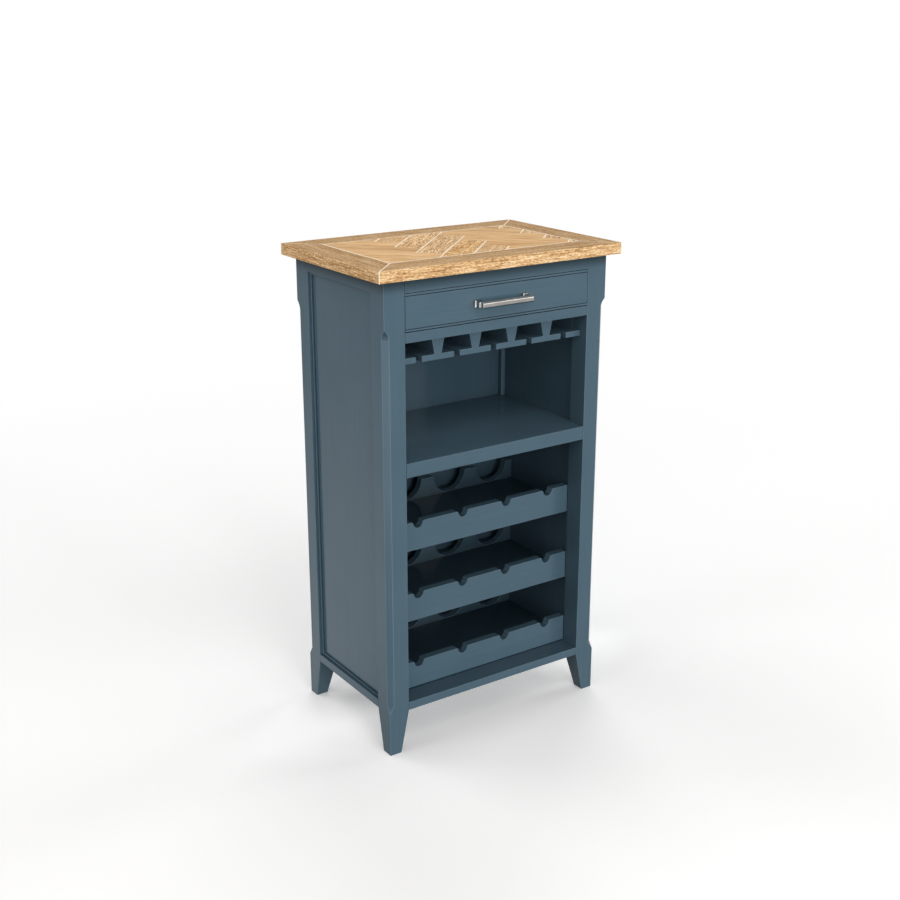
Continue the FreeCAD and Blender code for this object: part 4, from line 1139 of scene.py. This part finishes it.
def zinc_finish():
    """Zinc plate: grey metal with cloudy crystals."""
    material, tree, shader = new_finish("zinc_plate")
    crystals = stretched_noise(tree, own_place(tree), ZINC_CRYSTALS, detail=3)
    colour = mottled(tree, crystals, ZINC, ZINC_DULL)
    surfaced(tree, shader, colour, spread(tree, crystals, *ZINC_ROUGHNESS), crystals, *ZINC_BUMP)
    shader.inputs["Metallic"].default_value = 1.0
    return material


def screw_tree():
    """A screw driven at every seat, turned to the way it is driven."""
    tree, given = open_tree(
        "drive_screws",
        (
            ("Seats", "Geometry", None),
            ("Screw", "Object", None),
            ("Seed", "Int", 0),
            ("Finish", "Material", None),
        ),
    )
    screw = place(tree, "GeometryNodeObjectInfo", {"Object": given["Screw"]})
    aimed = place(
        tree, "FunctionNodeAlignRotationToVector", {"Vector": recalled(tree, "driven")}, axis="Z"
    )
    spin = place(
        tree,
        "FunctionNodeRandomValue",
        {"Min": (0, 0, 0), "Max": (0, 0, math.pi / 2), "Seed": given["Seed"]},
        data_type="FLOAT_VECTOR",
    )
    turned = place(
        tree,
        "FunctionNodeRotateRotation",
        {"Rotation": aimed.outputs["Rotation"], "Rotate By": spin.outputs[0]},
        rotation_space="LOCAL",
    )
    copies = place(
        tree,
        "GeometryNodeInstanceOnPoints",
        {
            "Points": given["Seats"],
            "Instance": screw.outputs["Geometry"],
            "Rotation": turned.outputs["Rotation"],
        },
    )
    close_tree(tree, copies.outputs["Instances"], given["Finish"])
    return tree


def islands(wood):
    """The separate solids of a bmesh, each as a list of its points."""
    found, seen = [], set()
    for start in wood.verts:
        if start in seen:
            continue
        island, waiting = [], [start]
        seen.add(start)
        while waiting:
            vertex = waiting.pop()
            island.append(vertex.co.copy())
            for edge in vertex.link_edges:
                other = edge.other_vert(vertex)
                if other not in seen:
                    seen.add(other)
                    waiting.append(other)
        found.append(island)
    return found


def seats_of(node):
    """Each screw of a node: where its head's top is, the way out of it, its length and radius."""
    wood = blank(node)
    seats = []
    for island in islands(wood):
        low = Vector([min(point[axis] for point in island) for axis in range(3)])
        high = Vector([max(point[axis] for point in island) for axis in range(3)])
        size = high - low
        axis = max(range(3), key=lambda index: size[index])
        middle = (low + high) / 2
        far = [point for point in island if point[axis] > high[axis] - SAME_PLACE]
        across = (axis + 1) % 3
        widest = max(abs(point[across] - middle[across]) for point in far)
        wide = widest > size[across] / 2 - SAME_PLACE
        out = Vector((0, 0, 0))
        out[axis] = 1 if wide else -1
        seat = middle.copy()
        seat[axis] = high[axis] if wide else low[axis]
        seats.append((seat, out, size[axis], size[across] / 2))
    wood.free()
    return seats


def cross_mesh():
    """The cross recess as one plus-shaped solid, half of it above the head's top."""
    cross = bmesh.new()
    arm = (
        Vector((RECESS_LENGTH / 2, -RECESS_WIDTH / 2, 0)),
        Vector((RECESS_LENGTH / 2, RECESS_WIDTH / 2, 0)),
        Vector((RECESS_WIDTH / 2, RECESS_WIDTH / 2, 0)),
    )
    quarters = [Matrix.Rotation(quarter * math.pi / 2, 3, "Z") for quarter in range(4)]
    outline = [quarter @ corner for quarter in quarters for corner in arm]
    low, high = [
        [cross.verts.new(corner + Vector((0, 0, level))) for corner in outline]
        for level in (-RECESS_DEPTH, RECESS_DEPTH)
    ]
    cross.faces.new(low)
    cross.faces.new(high)
    for index in range(len(outline)):
        cross.faces.new((low[index - 1], low[index], high[index], high[index - 1]))
    bmesh.ops.recalc_face_normals(cross, faces=cross.faces)
    return as_mesh("cross", cross)


def screw_mesh(length, radius):
    """One pan-head screw along Z, its head's top at the origin, with a cross recess."""
    profile = [(radius * across, radius * down) for across, down in HEAD_SECTION]
    shank, _ = HEAD_SECTION[-1]
    profile.append((radius * shank, radius * shank - length))
    profile += ((radius * TIP_SHARE, -length), (0, -length))
    metal = bmesh.new()
    points = [metal.verts.new((x, 0, z)) for x, z in profile]
    for first, second in zip(points, points[1:]):
        metal.edges.new((first, second))
    bmesh.ops.spin(
        metal,
        geom=metal.verts[:] + metal.edges[:],
        axis=(0, 0, 1),
        cent=(0, 0, 0),
        angle=2 * math.pi,
        steps=SCREW_SIDES,
        use_merge=True,
    )
    bmesh.ops.remove_doubles(metal, verts=metal.verts, dist=SAME_PLACE)
    bmesh.ops.recalc_face_normals(metal, faces=metal.faces)
    cutter = in_scene("cross", cross_mesh())
    made = cut_away("screw", metal, cutter)
    bpy.data.objects.remove(cutter)
    return made


zinc = zinc_finish()
drive = screw_tree()
for node, body in (
    ("back_panel_screws", "cabinet"),
    ("top_bracket_screws", "cabinet"),
    ("handle_screws", "drawer"),
):
    seats = seats_of(node)
    seat_mesh = bpy.data.meshes.new("seats")
    seat_mesh.from_pydata([seat for seat, _, _, _ in seats], [], [])
    driven = seat_mesh.attributes.new("driven", "FLOAT_VECTOR", "POINT")
    for index, (_, out, _, _) in enumerate(seats):
        driven.data[index].vector = out
    _, _, length, radius = seats[0]
    one_screw = in_scene("one_screw", screw_mesh(length, radius))
    screws = grow(seat_mesh, drive, {"Screw": one_screw, "Seed": SCREW_SEED, "Finish": zinc})
    bpy.data.objects.remove(one_screw)
    stand(f"{node}_driven", screws, zinc, body, [node])
fit("top_brackets", zinc, BRACKET_ARRIS)

# -------------------------------------------------------------------------------------------------
# Studio: a white floor that fades into white, with painted light round the cabinet's feet and a
# painted glow seen only in reflections, and broad soft lamps all round. Low lamps in front and at
# the left reach into the rack, high ones light the top, and a small warm one stands nearby.

WHITE = (1, 1, 1, 1)
FLOOR_REACH = 30.0
FLOOR_ROUGHNESS = 0.9
FLOOR_COLOUR = (0.95, 0.95, 0.95, 1)
FLOOR_BOUNCE = (0.27, 0.27, 0.27, 1)
FLOOR_MIRRORED = (0.45, 0.45, 0.45, 1)
FLOOR_GLOW = 0.115
# Painted light round the cabinet's feet, less at its left:
BASE_GLOW = 0.52
BASE_GLOW_REACH = 0.30
LEFT_GLOW_FROM = 0.10
LEFT_GLOW_TO = 0.45
LEFT_GLOW_SHARE = 0.55
# Painted reflection: how the floor glows, seen in mirrors only.
MIRRORED_FRONT = 0.12
MIRRORED_NEAR = 0.55
MIRRORED_FAR = 0.14
MIRRORED_FROM = 1.0
MIRRORED_TO = 3.4
MIRRORED_EDGE = 0.3
MIRRORED_LEFT = 1.6
LEFT_FROM = -0.9
LEFT_TO = -1.7
WHITE_FROM = 0.95
WHITE_AT = 3.0
SURROUND = 0.02
SURROUND_MIRRORED = 0.35
LAMP_SIZE = 4.5
LAMP_AWAY = 9.0
LAMP_AIM = Vector((0, 0, 0.5))
NEAR_SIZE = 2.0
NEAR_AWAY = 3.2
NEAR_POWER = 17
NEAR_COLOUR = (1.0, 0.92, 0.87)

ground = bmesh.new()
bmesh.ops.create_grid(ground, x_segments=1, y_segments=1, size=FLOOR_REACH)
floor = in_scene("floor", as_mesh("floor", ground))


def mirror_rays(tree, rays):
    """One where a ray comes from a mirror or through glass."""
    return figured(tree, "MAXIMUM", rays["Is Glossy Ray"], rays["Is Transmission Ray"])


floor_paint, tree, shader = new_finish("floor_paint")
rays = place(tree, "ShaderNodeLightPath").outputs
# Painted reflection: in mirrors the floor is paler than the light it bounces; to the eye it is
# paler still.
shown = blended(tree, mirror_rays(tree, rays), FLOOR_BOUNCE, FLOOR_MIRRORED)
shown = blended(tree, rays["Is Camera Ray"], shown, FLOOR_COLOUR)
tree.links.new(shown, shader.inputs["Base Color"])
shader.inputs["Roughness"].default_value = FLOOR_ROUGHNESS
shader.inputs["Specular IOR Level"].default_value = 0.0
shader.inputs["Emission Color"].default_value = WHITE
where = own_place(tree)
along = separated(tree, where)
away = length_of(tree, where)

# Painted reflection: seen in mirrors, the floor glows a little everywhere, brightly behind the
# cabinet, where it fades out, and at the front left.
behind = ranged(tree, along["Y"], -MIRRORED_EDGE, MIRRORED_EDGE, 0, 1)
front_left = ranged(tree, along["X"], LEFT_FROM, LEFT_TO, 0, MIRRORED_LEFT)
front_left = product(tree, front_left, figured(tree, "SUBTRACT", 1, behind))
fading = ranged(tree, away, MIRRORED_FROM, MIRRORED_TO, MIRRORED_NEAR, MIRRORED_FAR)
fading = total(tree, product(tree, behind, fading), MIRRORED_FRONT)
fading = total(tree, fading, front_left)
mirrored = product(tree, rays["Is Glossy Ray"], fading)

# Seen by the camera, it glows a little all over, and round the cabinet's feet it glows more as
# painted light that lifts the shadow there; all of it glows less at the left.
base = vectored(tree, "SUBTRACT", vectored(tree, "ABSOLUTE", where), (post_high.x, post_high.y, 0))
from_base = length_of(tree, vectored(tree, "MAXIMUM", base))
near_base = ranged(tree, from_base, 0, BASE_GLOW_REACH, BASE_GLOW, FLOOR_GLOW)
at_left = ranged(tree, along["X"], -LEFT_GLOW_FROM, -LEFT_GLOW_TO, 1, LEFT_GLOW_SHARE)
seen = product(tree, rays["Is Camera Ray"], product(tree, near_base, at_left))
tree.links.new(total(tree, seen, mirrored), shader.inputs["Emission Strength"])

# Far away it is plain white to the eye.
glow = place(tree, "ShaderNodeEmission", {"Color": WHITE, "Strength": 1.0})
share = product(tree, rays["Is Camera Ray"], ranged(tree, away, WHITE_FROM, WHITE_AT, 0, 1))
lit = place(
    tree,
    "ShaderNodeMixShader",
    {"Fac": share, "Shader": shader.outputs["BSDF"], "Shader_001": glow.outputs["Emission"]},
)
output = next(node for node in tree.nodes if node.type == "OUTPUT_MATERIAL")
tree.links.new(lit.outputs["Shader"], output.inputs["Surface"])
floor.data.materials.append(floor_paint)

world = bpy.data.worlds.new("surround")
world.use_nodes = True
bpy.context.scene.world = world
tree = world.node_tree
tree.nodes.clear()
rays = place(tree, "ShaderNodeLightPath").outputs
strength = ranged(tree, mirror_rays(tree, rays), 0, 1, SURROUND, SURROUND_MIRRORED)
strength = figured(tree, "MAXIMUM", strength, rays["Is Camera Ray"])
light = place(tree, "ShaderNodeBackground", {"Color": WHITE, "Strength": strength})
place(tree, "ShaderNodeOutputWorld", {"Surface": light.outputs["Background"]})


def soft_lamp(name, azimuth, elevation, power, size=LAMP_SIZE, away=LAMP_AWAY):
    """A square soft lamp aimed at the cabinet's middle; azimuth 0 is in front, 90 at its right."""
    turn, rise = math.radians(azimuth), math.radians(elevation)
    level = math.cos(rise)
    towards = Vector((math.sin(turn) * level, -math.cos(turn) * level, math.sin(rise)))
    data = bpy.data.lights.new(name, "AREA")
    data.shape = "SQUARE"
    data.size = size
    data.energy = power
    lamp = in_scene(name, data)
    lamp.location = LAMP_AIM + towards * away
    lamp.rotation_mode = "QUATERNION"
    lamp.rotation_quaternion = (-towards).to_track_quat("-Z", "Y")
    lamp.visible_camera = False
    return data


for name, azimuth, elevation, power in (
    ("low_front_lamp", -5, 8, 404),
    ("front_right_lamp", 35, 12, 188),
    ("front_left_lamp", -45, 12, 66),
    ("high_front_lamp", -5, 48, 178),
    ("low_left_lamp", -92, 10, 140),
    ("high_left_lamp", -95, 42, 100),
    ("right_lamp", 90, 25, 203),
    ("back_right_lamp", 145, 48, 226),
    ("back_left_lamp", -145, 48, 204),
):
    soft_lamp(name, azimuth, elevation, power)
near_lamp = soft_lamp("near_left_lamp", -50, 40, NEAR_POWER, NEAR_SIZE, NEAR_AWAY)
near_lamp.color = NEAR_COLOUR
bpy.context.scene.view_settings.view_transform = "Standard"

# -------------------------------------------------------------------------------------------------
# Camera: a normal lens at head height, to the front left of the cabinet, looking a little down at
# it.

CAMERA_PLACE = (-1.5754, -2.3057, 1.5099)
CAMERA_LOOK = Vector((0.53487, 0.78488, -0.31287))
CAMERA_LENS = 53.1
CAMERA_SENSOR = 36.0

camera_data = bpy.data.cameras.new("camera")
camera_data.sensor_width = CAMERA_SENSOR
camera_data.lens = CAMERA_LENS
camera = in_scene("camera", camera_data)
camera.location = CAMERA_PLACE
camera.rotation_mode = "QUATERNION"
camera.rotation_quaternion = CAMERA_LOOK.to_track_quat("-Z", "Y")
bpy.context.scene.camera = camera
